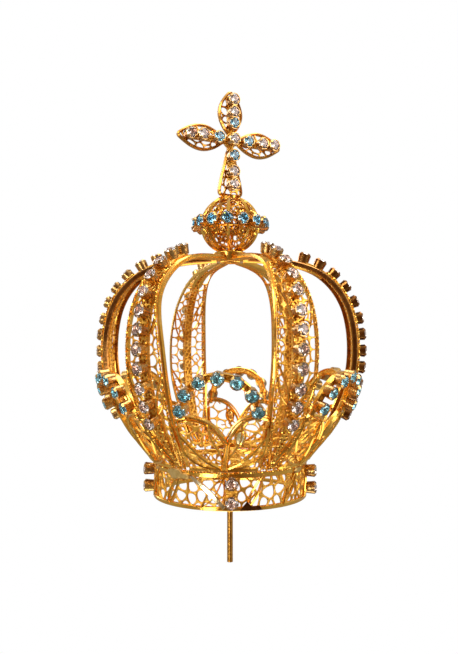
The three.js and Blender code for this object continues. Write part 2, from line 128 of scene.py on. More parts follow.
class Finish(Sheet):
    def __init__(self, name):
        self.material = bpy.data.materials.new(name)
        self.material.use_nodes = True
        super().__init__(self.material.node_tree)

    def shade(self, values):
        sockets = self.tree.nodes["Principled BSDF"].inputs
        for name, value in values.items():
            self.feed(sockets[name], value)

    def noise(self, scale, detail):
        spot = self.node("ShaderNodeTexCoord", {}, {}, "Object")
        inputs = {"Vector": spot, "Scale": scale, "Detail": detail}
        return self.node("ShaderNodeTexNoise", {}, inputs, "Fac")

    def grains(self, scale):
        spot = self.node("ShaderNodeTexCoord", {}, {}, "Object")
        return self.node("ShaderNodeTexVoronoi", {}, {"Vector": spot, "Scale": scale}, "Distance")

    def bump(self, height, depth):
        inputs = {"Height": height, "Strength": 1.0, "Distance": depth}
        return self.node("ShaderNodeBump", {}, inputs, "Normal")


# Surroundings, lamps and floor

studio = {
    "white": (1, 1, 1), "floorDepth": 0.25, "floorSize": 0.15,
    "below": (0.32, 0.31, 0.3), "level": (0.42, 0.41, 0.4), "above": (0.78, 0.77, 0.76),
    "front": (0.34, 0.19, 0.1), "behind": (1, 1, 1), "frontReach": 0.7, "aim": (0, 0, 0.035),
    # Each lamp's place, size, power and colour
    "lamps": {
        "keyLamp": ((-0.36, -0.34, 0.4), 0.3, 2.1, (1, 0.98, 0.95)),
        "sideLamp": ((0.46, -0.16, 0.2), 0.3, 1.4, (1, 0.99, 0.97)),
        "topLamp": ((0.05, 0.1, 0.55), 0.34, 1.7, (1, 1, 1)),
        "glintLamp": ((-0.13, -0.27, -0.04), 0.08, 0.2, (1, 1, 1)),
        "backLamp": ((-0.3, 0.45, 0.2), 0.25, 1.0, (1, 0.97, 0.92)),
    },
}


# The gold mirrors greys that rise to pale above and turn brown at the front.
# The camera itself sees white
def addSurroundings():
    world = bpy.data.worlds.new("studio")
    bpy.context.scene.world = world
    world.use_nodes = True
    sheet = Sheet(world.node_tree)
    way = sheet.node("ShaderNodeTexCoord", {}, {}, "Generated")
    up = sheet.node("ShaderNodeSeparateXYZ", {}, {"Vector": way}, "Z")
    back = sheet.node("ShaderNodeSeparateXYZ", {}, {"Vector": way}, "Y")
    greys = [(0.0, studio["below"]), (0.5, studio["level"]), (1.0, studio["above"])]
    grey = sheet.ramp(up * 0.5 + 0.5, greys)
    browns = [(0.0, studio["front"]), (1.0, studio["behind"])]
    brown = sheet.ramp((back + 1) * (1 / studio["frontReach"]), browns)
    tint = sheet.node("ShaderNodeVectorMath", {"operation": "MULTIPLY"}, {0: grey, 1: brown}, "Vector")
    around = sheet.node("ShaderNodeBackground", {}, {"Color": tint})
    plain = sheet.node("ShaderNodeBackground", {}, {"Color": (*studio["white"], 1)})
    seen = sheet.node("ShaderNodeLightPath", {}, {}, "Is Camera Ray")
    mixed = sheet.node("ShaderNodeMixShader", {}, {"Fac": seen, 1: around, 2: plain})
    sheet.feed(world.node_tree.nodes["World Output"].inputs["Surface"], mixed)


def addLamps():
    for name, (place, size, power, colour) in studio["lamps"].items():
        bpy.ops.object.light_add(type="AREA", location=place)
        lamp = bpy.context.object
        lamp.name = name
        lamp.data.size = size
        lamp.data.energy = power
        lamp.data.color = colour
        aim = Vector(studio["aim"]) - lamp.location
        lamp.rotation_euler = aim.to_track_quat("-Z", "Y").to_euler()


def addFloor():
    bpy.ops.mesh.primitive_plane_add(size=studio["floorSize"], location=(0, 0, -studio["floorDepth"]))
    floor = bpy.context.object
    floor.name = "studioFloor"
    finish = Finish("floorWhite")
    white = (*studio["white"], 1)
    finish.shade({"Base Color": white, "Emission Color": white, "Emission Strength": 1.0})
    floor.data.materials.append(finish.material)


addSurroundings()
addLamps()
addFloor()
bpy.context.scene.view_settings.view_transform = "Standard"
print("studio made")

# Golds: dark, middle and light tone, roughness and its range, grain scale and depth

gilding = {
    "patchScale": 260.0, "patchDetail": 3.0, "patchShare": 0.7, "speckScale": 1500.0, "speckShare": 0.3,
    "fineDetail": 2.0, "tonesAt": (0.32, 0.5, 0.72), "grainShare": 0.7, "dustScale": 1.7, "dustShare": 0.5,
}


def gildedFinish(name, tones, rough, grainScale, grainDepth):
    finish = Finish(name)
    patches = finish.noise(gilding["patchScale"], gilding["patchDetail"])
    specks = finish.noise(gilding["speckScale"], gilding["fineDetail"])
    tone = patches * gilding["patchShare"] + specks * gilding["speckShare"]
    dust = finish.noise(grainScale * gilding["dustScale"], gilding["fineDetail"])
    height = finish.grains(grainScale) * gilding["grainShare"] + dust * gilding["dustShare"]
    finish.shade({
        "Base Color": finish.ramp(tone, list(zip(gilding["tonesAt"], tones))),
        "Roughness": specks * rough[1] + (rough[0] - rough[1] * 0.5),
        "Normal": finish.bump(height, grainDepth),
        "Metallic": 1.0,
    })
    return finish.material


golds = {
    "plain": ((0.74, 0.32, 0.03), (0.92, 0.5, 0.075), (0.97, 0.62, 0.16)),
    "strip": ((0.8, 0.42, 0.07), (0.92, 0.5, 0.075), (0.97, 0.62, 0.16)),
    # Browner gold for the cups: painted shade on the settings
    "cup": ((0.34, 0.17, 0.05), (0.6, 0.35, 0.12), (0.97, 0.62, 0.16)),
    "warm": ((0.44, 0.18, 0.03), (0.66, 0.31, 0.05), (0.82, 0.44, 0.11)),
    "scorched": ((0.05, 0.015, 0.005), (0.12, 0.04, 0.01), (0.3, 0.12, 0.03)),
    # Pale gold: a painted highlight on the circlet's strip and on the petals' drops
    "bright": ((0.96, 0.7, 0.3), (0.98, 0.8, 0.45), (1.0, 0.88, 0.6)),
    "solder": ((0.5, 0.31, 0.08), (0.74, 0.5, 0.17), (0.86, 0.64, 0.28)),
    # Pink foil: the real foil backing, tinted pink as a painted reflection of the light in the stones
    "foil": ((0.84, 0.68, 0.6), (0.95, 0.85, 0.8), (1.0, 0.95, 0.92)),
    # Dark brown gold: painted shade on the side arches' rails and on the right arch's cups
    "umber": ((0.2, 0.07, 0.015), (0.32, 0.13, 0.03), (0.52, 0.25, 0.06)),
}

stripGold = gildedFinish("stripGold", golds["strip"], (0.2, 0.14), 1800.0, 0.00002)
laceGold = gildedFinish("laceGold", golds["plain"], (0.42, 0.2), 2600.0, 0.00008)
grainGold = gildedFinish("grainGold", golds["plain"], (0.45, 0.2), 1700.0, 0.0005)
cupGold = gildedFinish("cupGold", golds["cup"], (0.26, 0.16), 2400.0, 0.00004)
warmGold = gildedFinish("warmGold", golds["warm"], (0.3, 0.14), 1800.0, 0.00004)
scorchedGold = gildedFinish("scorchedGold", golds["scorched"], (0.4, 0.2), 2200.0, 0.00008)
paintedHighlightGold = gildedFinish("paintedHighlightGold", golds["bright"], (0.16, 0.08), 1800.0, 0.00001)
solderGold = gildedFinish("solderGold", golds["solder"], (0.42, 0.16), 2200.0, 0.00006)
foilSilver = gildedFinish("foilSilver", golds["foil"], (0.2, 0.1), 1400.0, 0.00014)
paintedShadeGold = gildedFinish("paintedShadeGold", golds["umber"], (0.24, 0.14), 1800.0, 0.00003)

# Cut glass

glass = {"rough": 0.02, "index": 1.6}


def stoneFinish(name, colour):
    finish = Finish(name)
    finish.shade({
        "Base Color": (*colour, 1), "Roughness": glass["rough"], "IOR": glass["index"],
        "Transmission Weight": 1.0,
    })
    return finish.material


# The clear glass is tinted peach: a painted reflection of the pinkish light in the stones
clearGlass = stoneFinish("clearGlass", (1.0, 0.84, 0.75))
aquaGlass = stoneFinish("aquaGlass", (0.46, 0.88, 1.0))
deepGlass = stoneFinish("deepGlass", (0.34, 0.73, 0.97))
print("materials made")


# Shapes of the crown, as its frame has them

skin = {
    "points": [
        (16.6, 7.6), (18.3, 9.9), (20.4, 12.4), (22.4, 15), (24.2, 18.1), (25.9, 22), (27.3, 26.4),
        (27.9, 31.6), (27.6, 37.3), (26.3, 42.4), (23.8, 46.6), (20.1, 49.9), (15.5, 51.8), (10.5, 52.7),
        (4.2, 53.2),
    ],
    "start": 0.9, "steps": 24,
}


def blended(at, low, high, first, second):
    return (high - at) / (high - low) * first + (at - low) / (high - low) * second


# Radius and height along a smooth line through the points
def skinTable():
    points = [np.array(point, float) for point in skin["points"]]
    points = [2 * points[0] - points[1], *points, 2 * points[-1] - points[-2]]
    rows = []
    for four in zip(points, points[1:], points[2:], points[3:]):
        knots = np.cumsum([0] + [math.sqrt(np.linalg.norm(b - a)) for a, b in zip(four, four[1:])])
        for at in np.linspace(knots[1], knots[2], skin["steps"], endpoint=False):
            spots = four
            for reach in (1, 2):
                spots = [blended(at, knots[i], knots[i + reach], spots[i], spots[i + 1])
                         for i in range(len(spots) - 1)]
            rows.append(blended(at, knots[1], knots[2], *spots))
    rows.append(points[-2])
    return np.array(rows)


skinRows = skinTable()
skinRun = np.concatenate([[0], np.cumsum(np.linalg.norm(np.diff(skinRows, axis=0), axis=1))])
skinSlope = np.gradient(skinRows, skinRun, axis=0)
skinSlope /= np.linalg.norm(skinSlope, axis=1)[:, None]
skinLength = float(skinRun[-1])


# Radius, height and slope at a run along the skin
def onSkin(run):
    return [np.interp(run, skinRun, column) for column in (*skinRows.T, *skinSlope.T)]


# Radius on the skin, then radius and height at a rise above it. Past either
# end the skin goes straight on
def aboveSkin(run, rise):
    radius, height, out, up = onSkin(run)
    extra = run - np.clip(run, 0, skinLength)
    return radius, radius + rise * up + extra * out, height - rise * out + extra * up


def runAt(height):
    return float(np.interp(height, skinRows[:, 1], skinRun))


def outward(azimuth):
    turn = np.radians(azimuth - 90)
    return np.stack([np.cos(turn), np.sin(turn)], -1)


# Places on the crown. Each takes x, y and the rise above the surface

def archPlace(azimuth):
    radial = outward(azimuth)
    side = outward(azimuth + 90)

    def place(x, y, rise):
        _, reach, height = aboveSkin(y, rise)
        return np.column_stack([reach[:, None] * radial + x[:, None] * side, height])
    return place


def petalPlace(azimuth):
    def place(x, y, rise):
        radius, reach, height = aboveSkin(y, rise)
        return np.column_stack([reach[:, None] * outward(azimuth + np.degrees(x / radius)), height])
    return place


def bandPlace(x, y, rise):
    radial = outward(np.degrees(x / band["radius"]))
    return np.column_stack([(band["radius"] + rise)[:, None] * radial, y])


def orbPlace(azimuth):
    def place(x, y, rise):
        latitude = y / orb["radius"]
        girth = np.maximum(np.cos(latitude), orb["leastGirth"])
        radial = outward(azimuth + np.degrees(x / (orb["radius"] * girth)))
        reach = orb["radius"] + rise
        level = orb["height"] + reach * np.sin(latitude)
        return np.column_stack([(reach * np.cos(latitude))[:, None] * radial, level])
    return place


def crossPlace(x, y, rise):
    spot = x[:, None] * outward(cross["yaw"] + 90) + rise[:, None] * outward(cross["yaw"])
    return np.column_stack([spot, cross["height"] + y])


# Drawing flat patterns

def choose(*pieces):
    bpy.ops.object.select_all(action="DESELECT")
    for piece in pieces:
        piece.select_set(True)
    bpy.context.view_layer.objects.active = pieces[0]


def joined(name, pieces):
    choose(*pieces)
    if len(pieces) > 1:
        bpy.ops.object.join()
    piece = bpy.context.view_layer.objects.active
    piece.name = name
    piece.data.name = name
    return piece


def meshed(curve, material):
    piece = bpy.data.objects.new(curve.name, curve)
    bpy.context.collection.objects.link(piece)
    curve.materials.append(material)
    choose(piece)
    bpy.ops.object.convert(target="MESH")
    return bpy.context.view_layer.objects.active


def newCurve(name, thickness):
    curve = bpy.data.curves.new(name, "CURVE")
    curve.dimensions = "3D"
    curve.bevel_depth = thickness
    curve.bevel_resolution = 0
    curve.use_fill_caps = True
    return curve


# Strips on edge, that stand on the pattern along its lines
def strips(lines, width, depth, material=stripGold, rounded=False, closed=False):
    curve = newCurve("strips", width / 2)
    curve.twist_mode = "Z_UP"
    curve.extrude = max(depth / 2 - width / 2, 0)
    curve.resolution_u = 3
    for points in lines:
        spline = curve.splines.new("NURBS" if rounded else "POLY")
        spline.points.add(len(points) - 1)
        spline.points.foreach_set("co", [value for x, y in points for value in (x, y, 0, 1)])
        spline.use_cyclic_u = closed
        if rounded:
            spline.order_u = 3
            spline.use_endpoint_u = not closed
    return meshed(curve, material)


# Two thin wires twisted round a line
def twisted(line, radius, pitch, steps=8, closeness=0.8):
    curve = newCurve("twist", radius)
    coil = radius * closeness
    fine = along(line, pitch / steps)
    for strand in (0, 1):
        run = 0.0
        values = []
        for (x, y), last, after in zip(fine, [fine[0], *fine], [*fine[1:], fine[-1]]):
            run += math.hypot(x - last[0], y - last[1])
            way = Vector((after[0] - last[0], after[1] - last[1])).normalized()
            turn = 2 * math.pi * run / pitch + math.pi * strand
            out = coil * math.cos(turn)
            values += [x - way.y * out, y + way.x * out, coil * math.sin(turn), 1]
        spline = curve.splines.new("POLY")
        spline.points.add(len(fine) - 1)
        spline.points.foreach_set("co", values)
    return meshed(curve, stripGold)


# Plate with holes, with its edges eased by soft on both faces. A triangle is
# kept where its middle is inside the outline and outside every hole
def plate(loop, holes, depth, soft, material=laceGold):
    loops = [edge if loopArea(edge) > 0 else edge[::-1] for edge in (loop, *holes)]
    faceLoops = [inset(loops[0], soft), *(inset(hole, -soft) for hole in loops[1:])]
    spots = [Vector(spot) for edge in faceLoops for spot in edge]
    starts = np.cumsum([0] + [len(edge) for edge in faceLoops])
    rings = [list(range(start, start + len(edge))) for start, edge in zip(starts, faceLoops)]
    spots, _, triangles, _, _, _ = delaunay_2d_cdt(spots, [], rings, 0, 0.0001)
    corners = np.array([tuple(spot) for spot in spots])
    middles = corners[np.array(triangles)].mean(axis=1)
    solid = isInside(middles, faceLoops[0])
    for edge in faceLoops[1:]:
        solid &= ~isInside(middles, edge)
    kept = [face for face, keep in zip(triangles, solid) if keep]
    count = len(spots)
    points = [(x, y, depth / 2) for x, y in spots] + [(x, y, -depth / 2) for x, y in spots]
    faces = kept + [[count + i for i in reversed(face)] for face in kept]
    for edge, faceEdge in zip(loops, faceLoops):
        size = len(edge)
        side = depth / 2 - soft
        levels = ((faceEdge, depth / 2), (edge, side), (edge, -side), (faceEdge, -depth / 2))
        start = len(points)
        points += [(x, y, level) for line, level in levels for x, y in line]
        for row in range(3):
            for i in range(size):
                low, next = start + row * size, (i + 1) % size
                faces.append([low + i, low + size + i, low + size + next, low + next])
    mesh = bpy.data.meshes.new("plate")
    mesh.from_pydata(points, [], faces)
    mesh.materials.append(material)
    piece = bpy.data.objects.new("plate", mesh)
    bpy.context.collection.objects.link(piece)
    return piece


# Outline of a flat ribbon that runs along a line
def ribbonLoop(line, width):
    left, right = [], []
    for before, spot, after in zip([line[0], *line[:-1]], line, [*line[1:], line[-1]]):
        way = Vector((after[0] - before[0], after[1] - before[1])).normalized() * (width / 2)
        left.append((spot[0] - way.y, spot[1] + way.x))
        right.append((spot[0] + way.y, spot[1] - way.x))
    return left + right[::-1]


def wrapped(piece, place, lift=0.0):
    mesh = piece.data
    flat = np.empty(len(mesh.vertices) * 3)
    mesh.vertices.foreach_get("co", flat)
    flat = flat.reshape(-1, 3)
    spots = place(flat[:, 0], flat[:, 1], flat[:, 2] + lift) * mm
    mesh.vertices.foreach_set("co", spots.ravel())
    mesh.update()
    return piece


def finished(piece, angle=40, gap=0.000004):
    choose(piece)
    bpy.ops.object.mode_set(mode="EDIT")
    bpy.ops.mesh.select_all(action="SELECT")
    bpy.ops.mesh.remove_doubles(threshold=gap)
    bpy.ops.mesh.normals_make_consistent(inside=False)
    bpy.ops.object.mode_set(mode="OBJECT")
    bpy.ops.object.shade_smooth_by_angle(angle=math.radians(angle))
    return piece


def along(points, step):
    spots = [Vector(point) for point in points]
    fine = [spots[0]]
    for start, end in zip(spots, spots[1:]):
        parts = max(1, round((end - start).length / step))
        fine += [start.lerp(end, i / parts) for i in range(1, parts + 1)]
    return [(spot.x, spot.y) for spot in fine]


def smooth(points, rounds=2):
    for _ in range(rounds):
        inner = []
        for a, b in zip(points, points[1:]):
            inner.append((a[0] * 0.75 + b[0] * 0.25, a[1] * 0.75 + b[1] * 0.25))
            inner.append((a[0] * 0.25 + b[0] * 0.75, a[1] * 0.25 + b[1] * 0.75))
        points = [points[0], *inner, points[-1]]
    return points


# Pointed leaf from its foot to its tip: a line for each side
def leaf(foot, tip, bulgeLeft, bulgeRight, steps=7, fullness=0.8):
    foot, tip = Vector(foot), Vector(tip)
    across = Vector((-(tip - foot).y, (tip - foot).x)).normalized()
    sides = []
    for bulge in (bulgeLeft, -bulgeRight):
        spots = [foot.lerp(tip, i / steps) + across * bulge * math.sin(math.pi * (i / steps) ** fullness)
                 for i in range(steps + 1)]
        sides.append([(spot.x, spot.y) for spot in spots])
    return sides[0], sides[1][::-1]


# Curl that starts along a direction and winds inwards
def curl(start, angle, radius, turns, hand, steps=12, tightening=0.72):
    points = []
    spot = Vector(start)
    heading = math.radians(angle)
    for i in range(steps + 1):
        points.append((spot.x, spot.y))
        bend = radius * (1 - tightening * i / steps)
        step = 2 * math.pi * turns / steps
        spot = spot + Vector((math.cos(heading), math.sin(heading))) * bend * step
        heading += hand * step
    return points


# Net: seeds are sown over an outline, and each has a cell round it

def isInside(spots, loop):
    x, y = spots.T
    inside = np.zeros(len(spots), bool)
    for (ax, ay), (bx, by) in zip(loop, loop[1:] + loop[:1]):
        if ay != by:
            inside ^= ((ay > y) != (by > y)) & (x < (bx - ax) * (y - ay) / (by - ay) + ax)
    return inside


def inset(loop, gap):
    hand = 1 if loopArea(loop) > 0 else -1
    moved = []
    for before, spot, after in zip(loop[-1:] + loop[:-1], loop, loop[1:] + loop[:1]):
        run = Vector((after[0] - before[0], after[1] - before[1])).normalized()
        moved.append((spot[0] - hand * run.y * gap, spot[1] + hand * run.x * gap))
    return moved


def sow(loop, pitch, chance, sown=(), tries=26):
    seeds = list(sown)
    xs = [x for x, _ in loop]
    ys = [y for _, y in loop]
    area = (max(xs) - min(xs)) * (max(ys) - min(ys))
    spots = np.array([(chance.uniform(min(xs), max(xs)), chance.uniform(min(ys), max(ys)))
                      for _ in range(int(area / pitch ** 2 * tries))])
    for spotX, spotY in spots[isInside(spots, loop)]:
        if all((spotX - x) ** 2 + (spotY - y) ** 2 > pitch ** 2 for x, y in seeds):
            seeds.append((spotX, spotY))
    return seeds


# The part of an outline on the near side of a line
def halfPlane(points, middle, away):
    kept = []
    depths = [(x - middle[0]) * away[0] + (y - middle[1]) * away[1] for x, y in points]
    for i, (x, y) in enumerate(points):
        depth, last, (lastX, lastY) = depths[i], depths[i - 1], points[i - 1]
        if (depth < 0) != (last < 0):
            share = last / (last - depth)
            kept.append((lastX + (x - lastX) * share, lastY + (y - lastY) * share))
        if depth < 0:
            kept.append((x, y))
    return kept


def cellHoles(loop, seeds, web, rim, least=0.12, neighbours=12, shortest=0.25):
    shape = inset(loop, rim)
    holes = []
    for x, y in seeds:
        near = sorted(((sx - x) ** 2 + (sy - y) ** 2, sx, sy) for sx, sy in seeds)[1:neighbours + 1]
        hole = shape
        for square, sx, sy in near:
            gap = math.sqrt(square)
            away = ((sx - x) / gap, (sy - y) / gap)
            reach = gap / 2 - web / 2
            hole = halfPlane(hole, (x + away[0] * reach, y + away[1] * reach), away)
            if len(hole) < 3:
                break
        hole = thinned(hole, shortest)
        if len(hole) > 2 and abs(loopArea(hole)) > least:
            holes.append(roundedLoop(hole))
    return holes


twig = {"share": 0.3, "reach": (0.7, 1.1), "bend": 0.3, "bendAt": 0.55, "width": 0.2, "depth": 0.4}


# Short twigs from the walls of some cells towards their middles
def twigs(holes, chance):
    lines = []
    for hole in holes:
        if chance.random() < twig["share"]:
            foot = Vector(chance.choice(hole))
            middle = sum((Vector(spot) for spot in hole), Vector((0, 0))) / len(hole)
            tip = foot.lerp(middle, chance.uniform(*twig["reach"]))
            side = (tip - foot).orthogonal() * chance.uniform(-twig["bend"], twig["bend"])
            lines.append([(spot.x, spot.y) for spot in (foot, foot.lerp(tip, twig["bendAt"]) + side, tip)])
    return strips(lines, twig["width"], twig["depth"], laceGold, rounded=True)


def roundedLoop(loop, steps=3):
    points = []
    corners = [Vector(spot) for spot in loop]
    for before, corner, after in zip(corners[-1:] + corners[:-1], corners, corners[1:] + corners[:1]):
        start = (before + corner) / 2
        end = (corner + after) / 2
        for i in range(steps):
            share = i / steps
            point = start.lerp(corner, share).lerp(corner.lerp(end, share), share)
            points.append((point.x, point.y))
    return points


def loopArea(loop):
    return sum(a[0] * b[1] - b[0] * a[1] for a, b in zip(loop, loop[1:] + loop[:1])) / 2


def thinned(loop, gap):
    kept = []
    for x, y in loop:
        if not kept or math.hypot(x - kept[-1][0], y - kept[-1][1]) > gap:
            kept.append((x, y))
    while len(kept) > 1 and math.hypot(kept[0][0] - kept[-1][0], kept[0][1] - kept[-1][1]) <= gap:
        kept.pop()
    return kept


print("pattern tools ready")
# Claw settings and cut stones: one of each is modelled, then copied

setting = {
    "sides": 12, "foot": 1.25, "lip": 1.42, "height": 1.9, "wall": 0.14, "seat": 1.0, "seatShare": 0.55,
    "seatReach": 0.8, "slack": 0.05,
    "claw": 0.32, "clawLean": 0.82, "clawAngles": (45, 135, 225, 315), "clawSpread": 10,
    "twist": 7.0, "lean": 2.5, "seed": 11, "probe": 0.05,
}

stone = {
    "sides": 8, "radius": 1.27, "girdle": 0.12, "girdleAt": 1.84, "table": 0.5, "crown": 0.4,
    # Inset as a share of the radius, and drop, of the two rows of facets below
    "pavilion": ((0.5, 0.372), (0.32, 0.248)),
}


# Upright cylinder with its middle at a height
def cylinder(sides, radius, depth, middle):
    bpy.ops.mesh.primitive_cylinder_add(vertices=sides, radius=radius, depth=depth, location=(0, 0, middle))
    bpy.ops.object.transform_apply(location=True)
    return bpy.context.object


# Only the faces that pass the test are selected, and edit mode is left on
def pickFaces(piece, test):
    bpy.ops.object.mode_set(mode="OBJECT")
    mesh = piece.data
    for item in (*mesh.vertices, *mesh.edges, *mesh.polygons):
        item.select = False
    for face in mesh.polygons:
        face.select = test(face.center, face.normal)
    bpy.ops.object.mode_set(mode="EDIT")
    bpy.context.tool_settings.mesh_select_mode = (False, False, True)


def facing(way):
    return lambda centre, normal: normal.z * way > 0.9


def isClaw(centre, normal):
    angle = math.degrees(math.atan2(centre.y, centre.x)) % 360
    isRim = normal.z > 0.9 and centre.z > setting["height"] - setting["slack"]
    return isRim and any(abs(angle - claw) < setting["clawSpread"] for claw in setting["clawAngles"])


def makeSetting():
    height = setting["height"]
    seatLevel = height - setting["seat"]
    cup = cylinder(setting["sides"], setting["foot"], height, height / 2)
    pickFaces(cup, facing(1))
    widen = setting["lip"] / setting["foot"]
    bpy.ops.transform.resize(value=(widen, widen, 1), center_override=(0, 0, height))
    bpy.ops.mesh.inset(thickness=setting["wall"])
    bpy.ops.mesh.extrude_region_move(TRANSFORM_OT_translate={"value": (0, 0, -setting["seat"])})
    share = setting["seatShare"]
    bpy.ops.transform.resize(value=(share, share, 1), center_override=(0, 0, 0))
    bpy.ops.object.mode_set(mode="OBJECT")
    cup.data.materials.append(cupGold)
    cup.data.materials.append(foilSilver)
    for face in cup.data.polygons:
        isInner = face.center.xy.length < setting["lip"] * setting["seatReach"]
        isSeat = isInner and face.center.z > seatLevel - setting["slack"] and face.normal.z > 0.1
        face.material_index = 1 if isSeat else 0
    pickFaces(cup, isClaw)
    lean = setting["clawLean"]
    bpy.ops.mesh.extrude_region_move(TRANSFORM_OT_translate={"value": (0, 0, setting["claw"])})
    bpy.ops.transform.resize(value=(lean, lean, 1), center_override=(0, 0, 0))
    bpy.ops.object.mode_set(mode="OBJECT")
    return cup


def makeStone(material):
    gem = cylinder(stone["sides"], stone["radius"], stone["girdle"], stone["girdleAt"])
    turn = math.pi / stone["sides"]
    pickFaces(gem, facing(1))
    bpy.ops.mesh.inset(thickness=stone["table"], depth=stone["crown"])
    bpy.ops.transform.rotate(value=turn, orient_axis="Z", center_override=(0, 0, 0))
    pickFaces(gem, facing(-1))
    (share, drop), (tipShare, tipDrop) = stone["pavilion"]
    bpy.ops.mesh.inset(thickness=stone["radius"] * share, depth=drop)
    bpy.ops.transform.rotate(value=turn, orient_axis="Z", center_override=(0, 0, 0))
    bpy.ops.mesh.inset(thickness=stone["radius"] * tipShare, depth=tipDrop)
    bpy.ops.mesh.select_all(action="SELECT")
    bpy.ops.mesh.quads_convert_to_tris()
    bpy.ops.object.mode_set(mode="OBJECT")
    gem.data.materials.append(material)
    return gem


settingPattern = makeSetting()
clearPattern = makeStone(clearGlass)
aquaPattern = makeStone(aquaGlass)
deepPattern = makeStone(deepGlass)
setChance = random.Random(setting["seed"])


# Where a setting stands on a bent pattern, a little askew as if set by hand
def seatOn(place, x, y, rise):
    step = setting["probe"]
    spots = place(np.array([x, x + step, x]), np.array([y, y, y + step]), np.array([rise] * 3))
    side = Vector(spots[1] - spots[0]).normalized()
    normal = side.cross(Vector(spots[2] - spots[0])).normalized()
    turn = Matrix((side, normal.cross(side), normal)).transposed().to_4x4()
    twist = math.radians(setChance.uniform(-setting["twist"], setting["twist"]))
    lean = math.radians(setChance.uniform(-setting["lean"], setting["lean"]))
    askew = Matrix.Rotation(twist, 4, "Z") @ Matrix.Rotation(lean, 4, "X")
    return Matrix.Scale(mm, 4) @ Matrix.Translation(spots[0]) @ turn @ askew


def copied(pattern, matrix):
    piece = pattern.copy()
    piece.data = pattern.data.copy()
    piece.data.transform(matrix)
    bpy.context.collection.objects.link(piece)
    return piece


# Cups and stones at some spots of a bent pattern
def setRow(place, spots, rise, pattern):
    seats = [seatOn(place, x, y, rise) for x, y in spots]
    return [copied(settingPattern, seat) for seat in seats], [copied(pattern, seat) for seat in seats]


def handedOver(piece, nodes):
    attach(piece, "root")
    if nodes:
        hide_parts(*nodes)
    print(piece.name, len(piece.data.polygons), "faces")


def stonePiece(name, stones, nodes=()):
    handedOver(joined(name, stones), nodes)


def goldPiece(name, parts, nodes):
    handedOver(finished(joined(name, parts)), nodes)


def camel(word, place):
    return word + "".join(part.capitalize() for part in place.split("_"))


def stations(low, high, step):
    count = max(2, round((high - low) / step))
    return [low + (high - low) * i / count for i in range(count + 1)]


# Arches: a grained rib under the stones, a net on either side of it, and rails

arch = {
    "azimuths": {
        "front_right": 31, "right": 91, "back_right": 150, "back_left": 208, "left": 270, "front_left": 328,
    },
    "seed": 100,
    # Half width along an arch: a belly that fades into the strap, and one bent edge
    "strapHalf": 1.4, "bellyHalf": 5.0, "bellyAt": 26, "below": 20, "above": 22, "taper": 2.5,
    "bentIn": "front_left", "bentDepth": 1.9, "bentAt": 38, "bentSpread": 9,
    # Rails, with twisted wires inside them and along the rib. The rails of the two side arches and the cups
    # of the right one get painted shade, a dark brown gold
    "shadePaintedRails": ("left", "right"), "shadePaintedCups": ("right",),
    "railWidth": 0.42, "railDepth": 1.1, "railLift": -0.5, "railStep": 0.8,
    "ribWire": 0.15, "ribWireIn": 0.1, "railWire": 0.13, "railWireIn": 0.12, "pitch": 1.1, "wireLift": 0.45,
    "wireStep": 0.7,
    # Rib, and the grained faces on both sides of it. The rib itself is a darker gold, painted shade at the
    # bottom of the grain's pits
    "ribHalf": 0.95, "ribFoot": 0.35, "ribFrom": 4.0, "ribGrow": 8.0, "ribRoom": 0.2, "ribOver": 6,
    "ribStep": 1.0, "ribDepth": 0.6, "ribSoft": 0.15,
    "grain": 0.85, "grainWeb": 0.28, "grainRim": 0.12, "grainLeast": 0.05, "grainDepth": 0.4,
    "grainSoft": 0.07, "grainLift": 0.7,
    # Net, with a row of even cells along the rail
    "netFrom": 1.6, "netTo": 47.0, "netStep": 0.9, "netDepth": 0.45, "netSoft": 0.1, "underRail": 0.3,
    "underRib": 0.25, "netRim": 0.16, "cell": 1.85, "web": 0.24,
    "row": 2.3, "rowFrom": 4, "rowIn": 0.95, "rowRoom": 0.35, "rowShift": 0.1, "rowVary": (0.9, 1.1),
    # Leaves that grow out of the rib, and the low ones from the foot
    "leafFeet": (14.0, 30.0), "leafReach": 8.6, "leafWidth": 0.28, "leafDepth": 0.8, "leafLift": 0.1,
    "leafShift": 0.7, "leafStagger": 2.2, "leafIn": 0.5, "leafBulges": (0.55, 1.15), "ribCover": 0.1,
    "lowLeaves": ((0.9, 13.5, 0.25, 0.95), (0.9, 8.0, 0.2, 0.7)), "lowAt": 0.25, "lowIn": 0.4,
    # Straps that close the arch where it meets the others on top
    "strapFrom": 46.5, "strapWidth": 1.06, "strapAt": 0.8, "strapIn": 0.5, "strapOver": 3.2,
    "stones": 12, "first": 13.6, "step": 3.5, "setRise": 0.4,
}


def archHalf(run):
    spread = arch["below"] if run < arch["bellyAt"] else arch["above"]
    share = abs(run - arch["bellyAt"]) / spread
    return arch["strapHalf"] + (arch["bellyHalf"] - arch["strapHalf"]) * math.exp(-share ** arch["taper"])


# Distance from the middle of an arch to its edge on one side
def archEdge(place, side, run):
    bent = arch["bentDepth"] if place == arch["bentIn"] and side > 0 else 0
    return archHalf(run) - bent * math.exp(-((run - arch["bentAt"]) / arch["bentSpread"]) ** 2)


def ribHalf(run):
    share = min(max((run - arch["ribFrom"]) / arch["ribGrow"], 0), 1)
    half = arch["ribFoot"] + (arch["ribHalf"] - arch["ribFoot"]) * share * share * (3 - 2 * share)
    return min(half, archHalf(run) - arch["ribRoom"])


